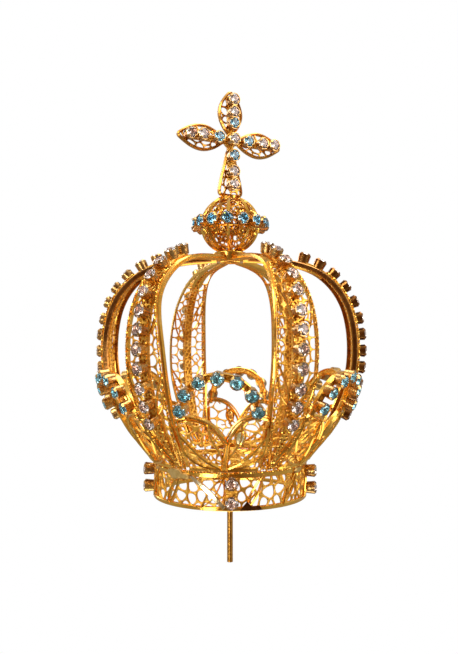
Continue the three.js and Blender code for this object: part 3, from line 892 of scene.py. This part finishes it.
def archNet(edgeAt, chance):
    runs = stations(arch["netFrom"], arch["netTo"], arch["netStep"])
    edge = [(edgeAt(run) - arch["underRail"], run) for run in runs]
    edge = [(out, run) for out, run in edge if out > ribHalf(run)]
    loop = edge + [(ribHalf(run) - arch["underRib"], run) for _, run in reversed(edge)]
    row = []
    run = arch["netFrom"] + arch["rowFrom"]
    while run < arch["netTo"]:
        out = edgeAt(run) - arch["rowIn"]
        if out > ribHalf(run) + arch["rowRoom"]:
            row.append((out + chance.uniform(-arch["rowShift"], arch["rowShift"]), run))
        run += arch["row"] * chance.uniform(*arch["rowVary"])
    seeds = sow(loop, arch["cell"], chance, row)
    holes = cellHoles(loop, seeds, arch["web"], arch["netRim"])
    return [plate(loop, holes, arch["netDepth"], arch["netSoft"]), twigs(holes, chance)]


def archLeaves(edgeAt, side, chance):
    lines = []
    for foot in arch["leafFeet"]:
        stagger = arch["leafStagger"] if side < 0 else 0
        foot += chance.uniform(-arch["leafShift"], arch["leafShift"]) + stagger
        run = foot + arch["leafReach"]
        tip = (edgeAt(run) - arch["leafIn"], run)
        lines += leaf((arch["ribHalf"] - arch["ribCover"], foot), tip, *arch["leafBulges"])
    for foot, run, *bulges in arch["lowLeaves"]:
        lines += leaf((arch["lowAt"], foot), (edgeAt(run) - arch["lowIn"], run), *bulges)
    lines = [[(side * x, y) for x, y in line] for line in lines]
    return strips(lines, arch["leafWidth"], arch["leafDepth"], rounded=True)


def flip(piece):
    piece.data.transform(Matrix.Scale(-1, 4, (1, 0, 0)))
    piece.data.flip_normals()


def archSide(place, side, bend, chance):
    def edgeAt(run):
        return archEdge(place, side, run)

    def line(outAt, low, high, step):
        return [(side * outAt(run), run) for run in stations(low, high, step)]

    net = archNet(edgeAt, chance)
    if side < 0:
        for lace in net:
            flip(lace)
    parts = [wrapped(lace, bend) for lace in net]
    parts.append(wrapped(archLeaves(edgeAt, side, chance), bend, arch["leafLift"]))
    rail = line(lambda run: edgeAt(run) - arch["railWidth"] / 2,
                skin["start"], skinLength, arch["railStep"])
    # The side arches' rails are dark brown gold: painted shade
    shade = paintedShadeGold if place in arch["shadePaintedRails"] else stripGold
    rails = strips([rail], arch["railWidth"], arch["railDepth"], shade)
    parts.append(wrapped(rails, bend, arch["railLift"]))
    for radius, outAt in (
        (arch["ribWire"], lambda run: ribHalf(run) - arch["ribWireIn"]),
        (arch["railWire"], lambda run: edgeAt(run) - arch["railWidth"] - arch["railWireIn"]),
    ):
        wire = line(outAt, skin["start"], arch["strapFrom"], arch["wireStep"])
        parts.append(wrapped(twisted(wire, radius, arch["pitch"]), bend, arch["wireLift"]))
    strap = line(lambda run: min(arch["strapAt"], archHalf(run) - arch["strapIn"]),
                 arch["strapFrom"], skinLength + arch["strapOver"], arch["railStep"])
    parts.append(wrapped(strips([strap], arch["strapWidth"], arch["railDepth"]), bend, arch["railLift"]))
    return parts


def archRib(bend, chance):
    runs = stations(skin["start"], arch["strapFrom"] + arch["ribOver"], arch["ribStep"])
    rib = [(ribHalf(run), run) for run in runs] + [(-ribHalf(run), run) for run in reversed(runs)]
    # The rib plate is darker gold: painted shade seen through the pits of the grained faces
    parts = [wrapped(plate(rib, [], arch["ribDepth"], arch["ribSoft"], warmGold), bend)]
    for face in (1, -1):
        seeds = sow(rib, arch["grain"], chance)
        pits = cellHoles(rib, seeds, arch["grainWeb"], arch["grainRim"], arch["grainLeast"])
        grained = plate(rib, pits, arch["grainDepth"], arch["grainSoft"])
        parts.append(wrapped(grained, bend, face * arch["ribDepth"] * arch["grainLift"]))
    return parts


def makeArch(place, azimuth, number):
    chance = random.Random(arch["seed"] + number)
    bend = archPlace(azimuth)
    parts = [part for side in (1, -1) for part in archSide(place, side, bend, chance)]
    parts += archRib(bend, chance)
    spots = [(0, arch["first"] + i * arch["step"]) for i in range(arch["stones"])]
    cups, stones = setRow(bend, spots, arch["setRise"], clearPattern)
    # The right arch's cups are dark brown gold: painted shade
    if place in arch["shadePaintedCups"]:
        for cup in cups:
            cup.data.materials[0] = paintedShadeGold
    goldPiece(camel("arch", place), parts + cups, [f"arch_{place}"])
    stonePiece(camel("arch", place) + "Stones", stones)


for number, (place, azimuth) in enumerate(arch["azimuths"].items()):
    makeArch(place, azimuth, number)
print("arches made")

# Petals: two lobes either side of a stem, with an arc of stones above them.
# Lines are drawn for the right lobe, from the stem outwards

petal = {
    "places": {
        "front": ("front_left", "front_right"), "front_right": ("front_right", "right"),
        "back_right": ("right", "back_right"), "back": ("back_right", "back_left"),
        "back_left": ("back_left", "left"), "front_left": ("left", "front_left"),
    },
    "seed": 200, "room": 0.35, "lift": 0.1,
    # Arc of stones: two strips with a grained floor between them, on two posts
    "stones": 7, "arcHeight": 21.2, "arcHalfMost": 6.9, "arcRoom": 1.5, "arcRise": 6.1, "setRise": 0.4,
    "stripSteps": 30, "floorSteps": 26, "rowSteps": 60,
    "stripHalf": 0.62, "stripWidth": 0.36, "stripDepth": 1.2, "floorDepth": 0.6, "soft": 0.1,
    "post": ((0.2, 0.3), (0.6, -2.8)), "postWidth": 0.9, "postDepth": 1.3, "postStep": 0.7,
    # Lines of a lobe
    "stem": ((0.55, 0.9), (0.42, 4.0), (0.3, 8.4)),
    "lobe": (
        (0.0, 8.2), (0.7, 10.0), (1.9, 12.0), (3.4, 13.4), (5.2, 14.2), (7.0, 14.3), (8.8, 13.8),
        (10.4, 13.0),
    ),
    "vein": ((0.45, 3.4), (1.0, 5.4), (2.3, 7.8), (3.1, 10.4), (3.2, 13.1)),
    "leafTop": ((0.5, 1.2), (2.4, 2.2), (4.4, 4.0), (6.4, 6.8), (8.2, 9.6), (10.4, 12.2)),
    "leafFoot": ((0.5, 1.2), (3.2, 1.4), (5.8, 2.7), (7.9, 5.2), (9.3, 8.2), (10.4, 12.2)),
    "stemLean": {"front": 1.3, "back": -0.4}, "leanMost": 0.5, "leanFades": 12, "stemDepth": 0.8,
    # Nets between the lines
    "cells": {"inner": 1.6, "outer": 2.3, "foot": 1.7}, "cellVary": (0.95, 1.05), "web": 0.21, "rim": 0.2,
    "netDepth": 0.45, "netSoft": 0.08, "edgeStep": 1.2, "edgeFrom": 1.0,
    "leafCell": 1.3, "leafWeb": 0.34, "leafRim": 0.3, "leafDepth": 0.5,
    # Widths and depths of the strips along the lines
    "ribbon": (0.42, 1.1), "liner": (0.26, 0.9), "linerGap": 0.62, "lobeStrip": (0.5, 1.3),
    "sill": (0.62, 1.0), "sillHeight": 0.6, "sillStep": 0.7,
    # Drop in the middle of the petal, its face painted with a highlight
    "drop": ((1.6, 8.0), (1.4, 10.2), (2.1, 11.4), (3.0, 11.5), (3.5, 10.4), (3.0, 8.8)),
    "dropStrip": (0.4, 1.1), "dropLift": 0.15, "dropDepth": 0.4, "dropSoft": 0.15, "dropFaceLift": 0.3,
}


# Half width that is free between two arches, half the turn between them apart
def petalHalf(run, turn):
    radius = onSkin(run)[0]
    return radius * (math.radians(turn) - math.asin(archHalf(run) / radius)) - petal["room"]


def arcLine(half, base, offset, steps):
    turns = [math.radians(-90 + 180 * i / steps) for i in range(steps + 1)]
    rise = petal["arcRise"] + offset
    return [((half + offset) * math.sin(turn), base + rise * math.cos(turn)) for turn in turns]


def evenSpots(line, count, step=0.05):
    fine = along(line, step)
    runs = np.concatenate([[0], np.cumsum([math.dist(a, b) for a, b in zip(fine, fine[1:])])])
    return [fine[int(np.searchsorted(runs, runs[-1] * i / (count - 1) - 1e-6))] for i in range(count)]


# One of a lobe's lines: it stays between the arches and leans with the stem
def petalLine(name, hand, lean, turn):
    line = []
    for x, run in smooth(list(petal[name])):
        x = min(x, petalHalf(run, turn))
        grown = min(1, run / petal["lobe"][0][1])
        line.append((hand * x + lean * grown * max(0, 1 - x / petal["leanFades"]), run))
    return line


def petalLobe(hand, lean, turn, chance):
    stem, lobe, vein, leafTop, leafFoot = [petalLine(name, hand, lean, turn)
                                           for name in ("stem", "lobe", "vein", "leafTop", "leafFoot")]
    split = min(range(len(lobe)), key=lambda i: math.dist(lobe[i], vein[-1]))
    edgeRuns = stations(petal["edgeFrom"], leafFoot[-1][1], petal["edgeStep"])
    edge = [(hand * petalHalf(run, turn), run) for run in edgeRuns]
    loops = {
        "inner": [point for point in stem if point[1] > vein[0][1]] + lobe[:split] + vein[::-1],
        "outer": vein + lobe[split + 1:] + leafTop[::-1],
        "foot": leafFoot + edge[-2::-1],
    }
    pieces = []
    for name, loop in loops.items():
        seeds = sow(loop, petal["cells"][name] * chance.uniform(*petal["cellVary"]), chance)
        holes = cellHoles(loop, seeds, petal["web"], petal["rim"])
        pieces += [plate(loop, holes, petal["netDepth"], petal["netSoft"]), twigs(holes, chance)]
    leafLoop = leafTop + leafFoot[-2:0:-1]
    leafSeeds = sow(leafLoop, petal["leafCell"], chance)
    leafHoles = cellHoles(leafLoop, leafSeeds, petal["leafWeb"], petal["leafRim"])
    liner = inset(lobe, hand * -petal["linerGap"])[2:-1]
    pieces += [
        plate(leafLoop, leafHoles, petal["leafDepth"], petal["soft"]),
        strips([vein, leafTop, leafFoot, stem], *petal["ribbon"]),
        strips([liner], *petal["liner"]),
        strips([lobe], *petal["lobeStrip"]),
    ]
    return pieces


def makePetal(place, before, after, number):
    chance = random.Random(petal["seed"] + number)
    turn = ((arch["azimuths"][after] - arch["azimuths"][before]) % 360) / 2
    bend = petalPlace(arch["azimuths"][before] + turn)
    lean = petal["stemLean"].get(place, chance.uniform(-petal["leanMost"], petal["leanMost"]))
    base = runAt(petal["arcHeight"])
    half = min(petal["arcHalfMost"], petalHalf(base, turn) - petal["arcRoom"])
    parts = []
    for hand in (1, -1):
        parts += [wrapped(piece, bend, petal["lift"]) for piece in petalLobe(hand, lean, turn, chance)]
        post = along([(hand * (half + out), base + up) for out, up in petal["post"]], petal["postStep"])
        parts.append(wrapped(strips([post], petal["postWidth"], petal["postDepth"]), bend))
    left, right = [petalLine("stem", hand, lean, turn) for hand in (-1, 1)]
    stem = plate(left + right[::-1], [], petal["stemDepth"], petal["soft"], grainGold)
    parts.append(wrapped(stem, bend, petal["lift"]))
    drop = [(x + lean, y) for x, y in roundedLoop(list(petal["drop"]))]
    parts.append(wrapped(strips([drop], *petal["dropStrip"], closed=True), bend, petal["dropLift"]))
    # The drop's face is pale gold: a painted highlight
    dropFace = plate(drop, [], petal["dropDepth"], petal["dropSoft"], paintedHighlightGold)
    parts.append(wrapped(dropFace, bend, petal["dropFaceLift"]))
    for offset in (-petal["stripHalf"], petal["stripHalf"]):
        line = arcLine(half, base, offset, petal["stripSteps"])
        arc = strips([line], petal["stripWidth"], petal["stripDepth"])
        parts.append(wrapped(arc, bend))
    outer, inner = [arcLine(half, base, side * petal["stripHalf"], petal["floorSteps"]) for side in (1, -1)]
    floor = plate(outer + inner[::-1], [], petal["floorDepth"], petal["soft"], grainGold)
    parts.append(wrapped(floor, bend))
    reach = petalHalf(petal["edgeFrom"], turn)
    sill = [(x, petal["sillHeight"]) for x in stations(-reach, reach, petal["sillStep"])]
    parts.append(wrapped(strips([sill], *petal["sill"]), bend))
    spots = evenSpots(arcLine(half, base, 0, petal["rowSteps"]), petal["stones"])
    cups, stones = setRow(bend, spots, petal["setRise"], aquaPattern)
    goldPiece(camel("petal", place), parts + cups, [f"petal_{place}"])
    stonePiece(camel("petal", place) + "Stones", stones)


for number, (place, (before, after)) in enumerate(petal["places"].items()):
    makePetal(place, before, after, number)
print("petals made")

# Circlet

band = {
    "radius": 17.0, "height": 7.6, "lift": -0.45, "seed": 31,
    # Net in six bays between two flat rims, with a twisted wire on top
    "bays": 6, "bayStep": 1.0, "edge": 0.4, "cell": 1.8, "web": 0.34, "rim": 0.12, "netDepth": 0.5,
    "soft": 0.1,
    "rims": ((0.4, 0.8), (7.05, 1.1)), "rimDepth": 0.9, "rimSoft": 0.12, "step": 0.8,
    "wire": 0.12, "pitch": 1.0, "wireIn": 0.1,
    # Slanting leaves: foot and tip heights, reach, bulges
    "leaves": 12, "leafHeights": (0.5, 7.0), "leafReaches": (3.68, 4.6), "leafBulges": (0.6, 0.75),
    "leafShift": 0.4, "leafStrip": (0.3, 1.0), "leafLift": -0.35,
    # Pads under the pairs of stones
    "stoneAzimuths": (5, 84, 180, 276), "stoneHeights": (2.0, 5.7), "setRise": 0.0,
    "padHalf": 1.1, "padHeights": (0.5, 7.1), "padDepth": 0.8,
    # Strip painted with a highlight, solder flats (x, height, size) and dark patch at the front
    "shine": ((-6.9, 6.6), (-4.6, 5.0), (-2.2, 2.9), (0.1, 0.7)), "shineWidth": 1.0, "shineDepth": 0.5,
    "shineSoft": 0.15,
    "blobs": ((-10.8, 6.9, 4.6), (-8.4, 6.5, 2.6), (17.6, 7.0, 2.6)), "blobVary": (0.8, 1.2),
    "blobFlatness": 0.26, "blobDepth": 0.8, "blobSoft": 0.25, "blobLift": 0.1,
    "scorch": ((3.2, 0.1), (7.9, 0.1), (7.2, 1.0), (5.6, 0.9), (4.6, 1.9), (3.9, 1.1)), "scorchStep": 0.6,
    "scorchDepth": 0.3, "scorchSoft": 0.08, "scorchLift": 0.05,
}


def bandNet(girth, chance):
    parts = []
    for i in range(band["bays"]):
        start = i * (girth / band["bays"])
        runs = stations(start, start + girth / band["bays"], band["bayStep"])
        top = band["height"] - band["edge"]
        loop = [(x, band["edge"]) for x in runs] + [(x, top) for x in reversed(runs)]
        holes = cellHoles(loop, sow(loop, band["cell"], chance), band["web"], band["rim"])
        parts.append(wrapped(plate(loop, holes, band["netDepth"], band["soft"]), bandPlace, band["lift"]))
    return parts


def bandRims(girth):
    parts = []
    for level, width in band["rims"]:
        ring = [(x, level) for x in stations(girth / 2, girth * 1.5, band["step"])]
        rim = plate(ribbonLoop(ring, width), [], band["rimDepth"], band["rimSoft"], stripGold)
        parts.append(wrapped(rim, bandPlace, band["lift"]))
    rope = [(x, band["height"] - band["wireIn"]) for x in stations(0, girth, band["step"])]
    parts.append(wrapped(twisted(rope, band["wire"], band["pitch"]), bandPlace))
    return parts


def bandMarksAndHighlight(chance):
    # The strip is pale gold: a painted highlight
    shine = ribbonLoop(smooth(list(band["shine"])), band["shineWidth"])
    parts = [wrapped(plate(shine, [], band["shineDepth"], band["shineSoft"], paintedHighlightGold), bandPlace)]
    for x, y, size in band["blobs"]:
        blob = []
        for turn in (math.radians(angle) for angle in range(0, 360, 30)):
            out = size / 2 * math.cos(turn) * chance.uniform(*band["blobVary"])
            blob.append((x + out, y + size * band["blobFlatness"] * math.sin(turn)))
        flat = plate(blob, [], band["blobDepth"], band["blobSoft"], solderGold)
        parts.append(wrapped(flat, bandPlace, band["blobLift"]))
    scorch = along([*band["scorch"], band["scorch"][0]], band["scorchStep"])[:-1]
    patch = plate(scorch, [], band["scorchDepth"], band["scorchSoft"], scorchedGold)
    parts.append(wrapped(patch, bandPlace, band["scorchLift"]))
    return parts


def bandLeaves(girth, chance):
    low, high = band["leafHeights"]
    lines = []
    for i in range(band["leaves"]):
        foot = girth * (i + 0.5) / band["leaves"] + chance.uniform(-band["leafShift"], band["leafShift"])
        lines += leaf((foot, low), (foot + band["leafReaches"][i % 2], high), *band["leafBulges"])
    return wrapped(strips(lines, *band["leafStrip"], rounded=True), bandPlace, band["leafLift"])


def makeBand():
    chance = random.Random(band["seed"])
    girth = 2 * math.pi * band["radius"]
    parts = bandNet(girth, chance) + bandRims(girth) + bandMarksAndHighlight(chance)
    parts.append(bandLeaves(girth, chance))
    cups, stones = [], []
    for azimuth in band["stoneAzimuths"]:
        middle = math.radians(azimuth) * band["radius"]
        left, right = middle - band["padHalf"], middle + band["padHalf"]
        low, high = band["padHeights"]
        pad = along([(left, low), (right, low), (right, high), (left, high)], band["step"])
        padPlate = plate(pad, [], band["padDepth"], band["soft"], grainGold)
        parts.append(wrapped(padPlate, bandPlace, band["lift"]))
        spots = [(middle, height) for height in band["stoneHeights"]]
        more, extra = setRow(bandPlace, spots, band["setRise"], clearPattern)
        cups += more
        stones += extra
    goldPiece("circletLace", parts + cups, ["circlet"])
    nodes = [f"crystal_circlet_{side}_{level}" for side in ("front", "right", "back", "left")
             for level in ("lower", "upper")]
    stonePiece("circletStones", stones, nodes)


makeBand()
print("circlet made")

# Orb: gores of net and curls between ribs, and a belt of stones

orb = {
    "radius": 6.6, "height": 60.7, "leastGirth": 0.12, "lift": -0.45, "seed": 41,
    "gores": 8, "pole": 76, "netFrom": 0.9, "netStep": 0.7, "cell": 1.6, "web": 0.3, "rim": 0.2,
    "netDepth": 0.4, "netSoft": 0.08,
    "curlFoot": (0.15, 1.2), "curlLean": 35, "curlRadius": 1.1, "curlTurns": 0.9, "curlStrip": (0.28, 0.8),
    "rib": (0.75, 1.0), "ribLift": -0.35, "step": 0.6, "belt": 1.15, "beltStrip": (0.5, 0.8),
    "stones": 15, "setRise": 0.0,
    "capSides": 24, "capRadius": 2.0, "capDepth": 0.5, "capIn": 0.45,
    # Inset and rise of each step of a cap
    "capSteps": ((0.5, 0.15), (0.6, -0.1)),
}


def orbGore(bend, side, chance):
    pitch = 2 * math.pi * orb["radius"] / orb["gores"]
    levels = stations(orb["netFrom"], math.radians(orb["pole"]) * orb["radius"], orb["netStep"])
    right = [(pitch / 2 * math.cos(y / orb["radius"]), side * y) for y in levels]
    loop = right + [(-x, y) for x, y in reversed(right)]
    holes = cellHoles(loop, sow(loop, orb["cell"], chance), orb["web"], orb["rim"])
    lace = plate(loop, holes, orb["netDepth"], orb["netSoft"], warmGold)
    x, y = orb["curlFoot"]
    curls = [curl((hand * x, side * y), 90 * side - hand * side * orb["curlLean"], orb["curlRadius"],
                  orb["curlTurns"], hand * side) for hand in (1, -1)]
    curled = strips(curls, *orb["curlStrip"], rounded=True)
    return [wrapped(lace, bend, orb["lift"]), wrapped(curled, bend, orb["lift"])]


def orbCap(side):
    middle = orb["height"] + side * (orb["radius"] - orb["capIn"])
    cap = cylinder(orb["capSides"], orb["capRadius"] * mm, orb["capDepth"] * mm, middle * mm)
    pickFaces(cap, facing(side))
    for thickness, depth in orb["capSteps"]:
        bpy.ops.mesh.inset(thickness=thickness * mm, depth=depth * mm)
    bpy.ops.object.mode_set(mode="OBJECT")
    cap.data.materials.append(stripGold)
    return cap


def makeOrb():
    chance = random.Random(orb["seed"])
    girth = 2 * math.pi * orb["radius"]
    top = math.radians(orb["pole"]) * orb["radius"]
    parts = []
    for i in range(orb["gores"]):
        bend = orbPlace(360 * (i + 0.5) / orb["gores"])
        for side in (1, -1):
            parts += orbGore(bend, side, chance)
        rib = [(0, y) for y in stations(-top, top, orb["step"])]
        parts.append(wrapped(strips([rib], *orb["rib"]), orbPlace(360 * i / orb["gores"]), orb["ribLift"]))
    belt = orbPlace(0)
    for level in (-orb["belt"], 0, orb["belt"]):
        ring = [(x, level) for x in stations(0, girth, orb["step"])]
        parts.append(wrapped(strips([ring], *orb["beltStrip"]), belt, orb["ribLift"]))
    spots = [(girth * i / orb["stones"], 0) for i in range(orb["stones"])]
    cups, stones = setRow(belt, spots, orb["setRise"], deepPattern)
    parts += [orbCap(side) for side in (1, -1)]
    goldPiece("orbLace", parts + cups, ["orb"])
    stonePiece("orbStones", stones, [f"aqua_orb_{i + 1:02d}" for i in range(orb["stones"])])


makeOrb()
print("orb made")

# Cross: each arm has its reach, the half width along it as shares, and its stones

cross = {
    "height": 80.0, "yaw": 30, "half": 3.2, "seed": 51,
    "leaf": ((0.0, 0.12), (0.16, 0.3), (0.3, 0.72), (0.5, 1.0), (0.7, 0.86), (0.88, 0.42), (1.0, 0.0)),
    "spread": ((0.0, 0.2), (0.2, 0.34), (0.45, 0.55), (0.7, 0.82), (0.9, 0.98), (0.985, 0.9), (1.0, 0.72)),
    "arms": (
        (12.0, "leaf", (6.3, 9.2)), (13.4, "leaf", (7.5, 10.5)), (12.85, "spread", (7.3, 10.3)),
        (13.4, "leaf", (7.5, 10.5)),
    ),
    "innerEnd": 0.9, "outerEnd": 0.95, "aquaRing": (3.7,), "setRise": 0.65, "centreRise": 0.95,
    "strip": (0.62, 1.2), "cell": 1.45, "web": 0.3, "rim": 0.25, "netDepth": 0.5, "soft": 0.1,
    "spineHalf": 0.7, "spineFrom": 1.0, "spineDepth": 1.0, "spineSoft": 0.12,
    "discRadius": 1.5, "discDepth": 1.3, "discSoft": 0.15,
}


def quarterTurn(points, quarter):
    for _ in range(quarter):
        points = [(-y, x) for x, y in points]
    return points


def armLoop(reach, shares, gap):
    right = [(max(share * cross["half"] - gap, 0.0), at * reach - (gap if at > cross["outerEnd"] else 0))
             for at, share in shares]
    right = [(x, y) for x, y in right if y > cross["innerEnd"]]
    return smooth(right + [(-x, y) for x, y in reversed(right) if x > 0])


def makeCross():
    chance = random.Random(cross["seed"])
    parts, cups, clear, aqua = [], [], [], []
    for quarter, (reach, shares, seats) in enumerate(cross["arms"]):
        loop = armLoop(reach, cross[shares], cross["strip"][0] / 2)
        turned = quarterTurn(loop, quarter)
        parts.append(wrapped(strips([turned], *cross["strip"], warmGold, closed=True), crossPlace))
        seeds = sow(loop, cross["cell"], chance)
        holes = [quarterTurn(hole, quarter) for hole in cellHoles(loop, seeds, cross["web"], cross["rim"])]
        parts.append(wrapped(plate(turned, holes, cross["netDepth"], cross["soft"], warmGold), crossPlace))
        half, low, high = cross["spineHalf"], cross["spineFrom"], seats[1]
        spine = quarterTurn([(-half, low), (half, low), (half, high), (-half, high)], quarter)
        spinePlate = plate(spine, [], cross["spineDepth"], cross["spineSoft"], grainGold)
        parts.append(wrapped(spinePlate, crossPlace))
        for levels, pattern, kept in ((seats, clearPattern, clear), (cross["aquaRing"], deepPattern, aqua)):
            spots = quarterTurn([(0, level) for level in levels], quarter)
            more, extra = setRow(crossPlace, spots, cross["setRise"], pattern)
            cups += more
            kept += extra
    more, extra = setRow(crossPlace, [(0, 0)], cross["centreRise"], clearPattern)
    radius = cross["discRadius"]
    turns = [math.radians(angle) for angle in range(0, 360, 20)]
    disc = [(radius * math.cos(turn), radius * math.sin(turn)) for turn in turns]
    parts.append(wrapped(plate(disc, [], cross["discDepth"], cross["discSoft"], grainGold), crossPlace))
    goldPiece("crossLace", parts + cups + more, ["cross"])
    sides = ("top", "left", "foot", "right")
    ends = [f"crystal_cross_{side}_{i}" for side in sides for i in (1, 2)]
    stonePiece("crossStones", clear + extra, ["crystal_cross_centre", *ends])
    stonePiece("crossAquas", aqua, [f"aqua_cross_{side}" for side in sides])


makeCross()
print("cross made")

# Collar, seat bar and pin. The steps are insets with the rise of each

collar = {
    "radius": 3.85, "footShare": 0.8, "low": 52.1, "high": 54.2, "sides": 40, "bevel": 0.18,
    "bevelSteps": 3,
    "topSteps": ((0.7, 0.12), (1.3, -0.75), (0.4, -0.1)), "underSteps": ((0.3, 0), (0.9, -0.6)),
}

bar = {
    "width": 1.8, "length": 31.2, "low": 0.3, "thickness": 0.6, "cuts": 6, "bevel": 0.12, "bevelSteps": 2,
}

pin = {"radius": 0.65, "length": 15.0, "sides": 24, "tipSteps": ((0.1, 0.04),)}


def stepped(piece, way, steps):
    pickFaces(piece, facing(way))
    for thickness, depth in steps:
        bpy.ops.mesh.inset(thickness=thickness * mm, depth=depth * mm)
    bpy.ops.object.mode_set(mode="OBJECT")


def bevelled(piece, values):
    bevel = piece.modifiers.new("softEdges", "BEVEL")
    bevel.width = values["bevel"] * mm
    bevel.segments = values["bevelSteps"]
    bevel.limit_method = "ANGLE"
    bpy.ops.object.modifier_apply(modifier=bevel.name)


def makeCollar():
    low, high = collar["low"] * mm, collar["high"] * mm
    foot = collar["radius"] * mm * collar["footShare"]
    dish = cylinder(collar["sides"], foot, high - low, (low + high) / 2)
    pickFaces(dish, facing(1))
    widen = 1 / collar["footShare"]
    bpy.ops.transform.resize(value=(widen, widen, 1), center_override=(0, 0, 0))
    stepped(dish, 1, collar["topSteps"])
    stepped(dish, -1, collar["underSteps"])
    bevelled(dish, collar)
    dish.data.materials.append(stripGold)
    goldPiece("collarDish", [dish], ["collar"])


def makeSeatBar():
    low, thick = bar["low"] * mm, bar["thickness"] * mm
    bpy.ops.mesh.primitive_cube_add(size=1, location=(0, 0, low + thick / 2),
                                    scale=(bar["width"] * mm, bar["length"] * mm, thick))
    strip = bpy.context.object
    bpy.ops.object.transform_apply(location=True, scale=True)
    bpy.ops.object.mode_set(mode="EDIT")
    bpy.ops.mesh.select_all(action="SELECT")
    bpy.ops.mesh.subdivide(number_cuts=bar["cuts"])
    bpy.ops.object.mode_set(mode="OBJECT")
    bevelled(strip, bar)
    strip.data.materials.append(stripGold)
    goldPiece("seatBar", [strip], ["seat_bar"])


def makePin():
    length = pin["length"] * mm
    wire = cylinder(pin["sides"], pin["radius"] * mm, length, -length / 2)
    stepped(wire, -1, pin["tipSteps"])
    wire.data.materials.append(warmGold)
    goldPiece("pinWire", [wire], ["pin"])


makeCollar()
makeSeatBar()
makePin()
print("fittings made")

for pattern in (settingPattern, clearPattern, aquaPattern, deepPattern):
    bpy.data.objects.remove(pattern)
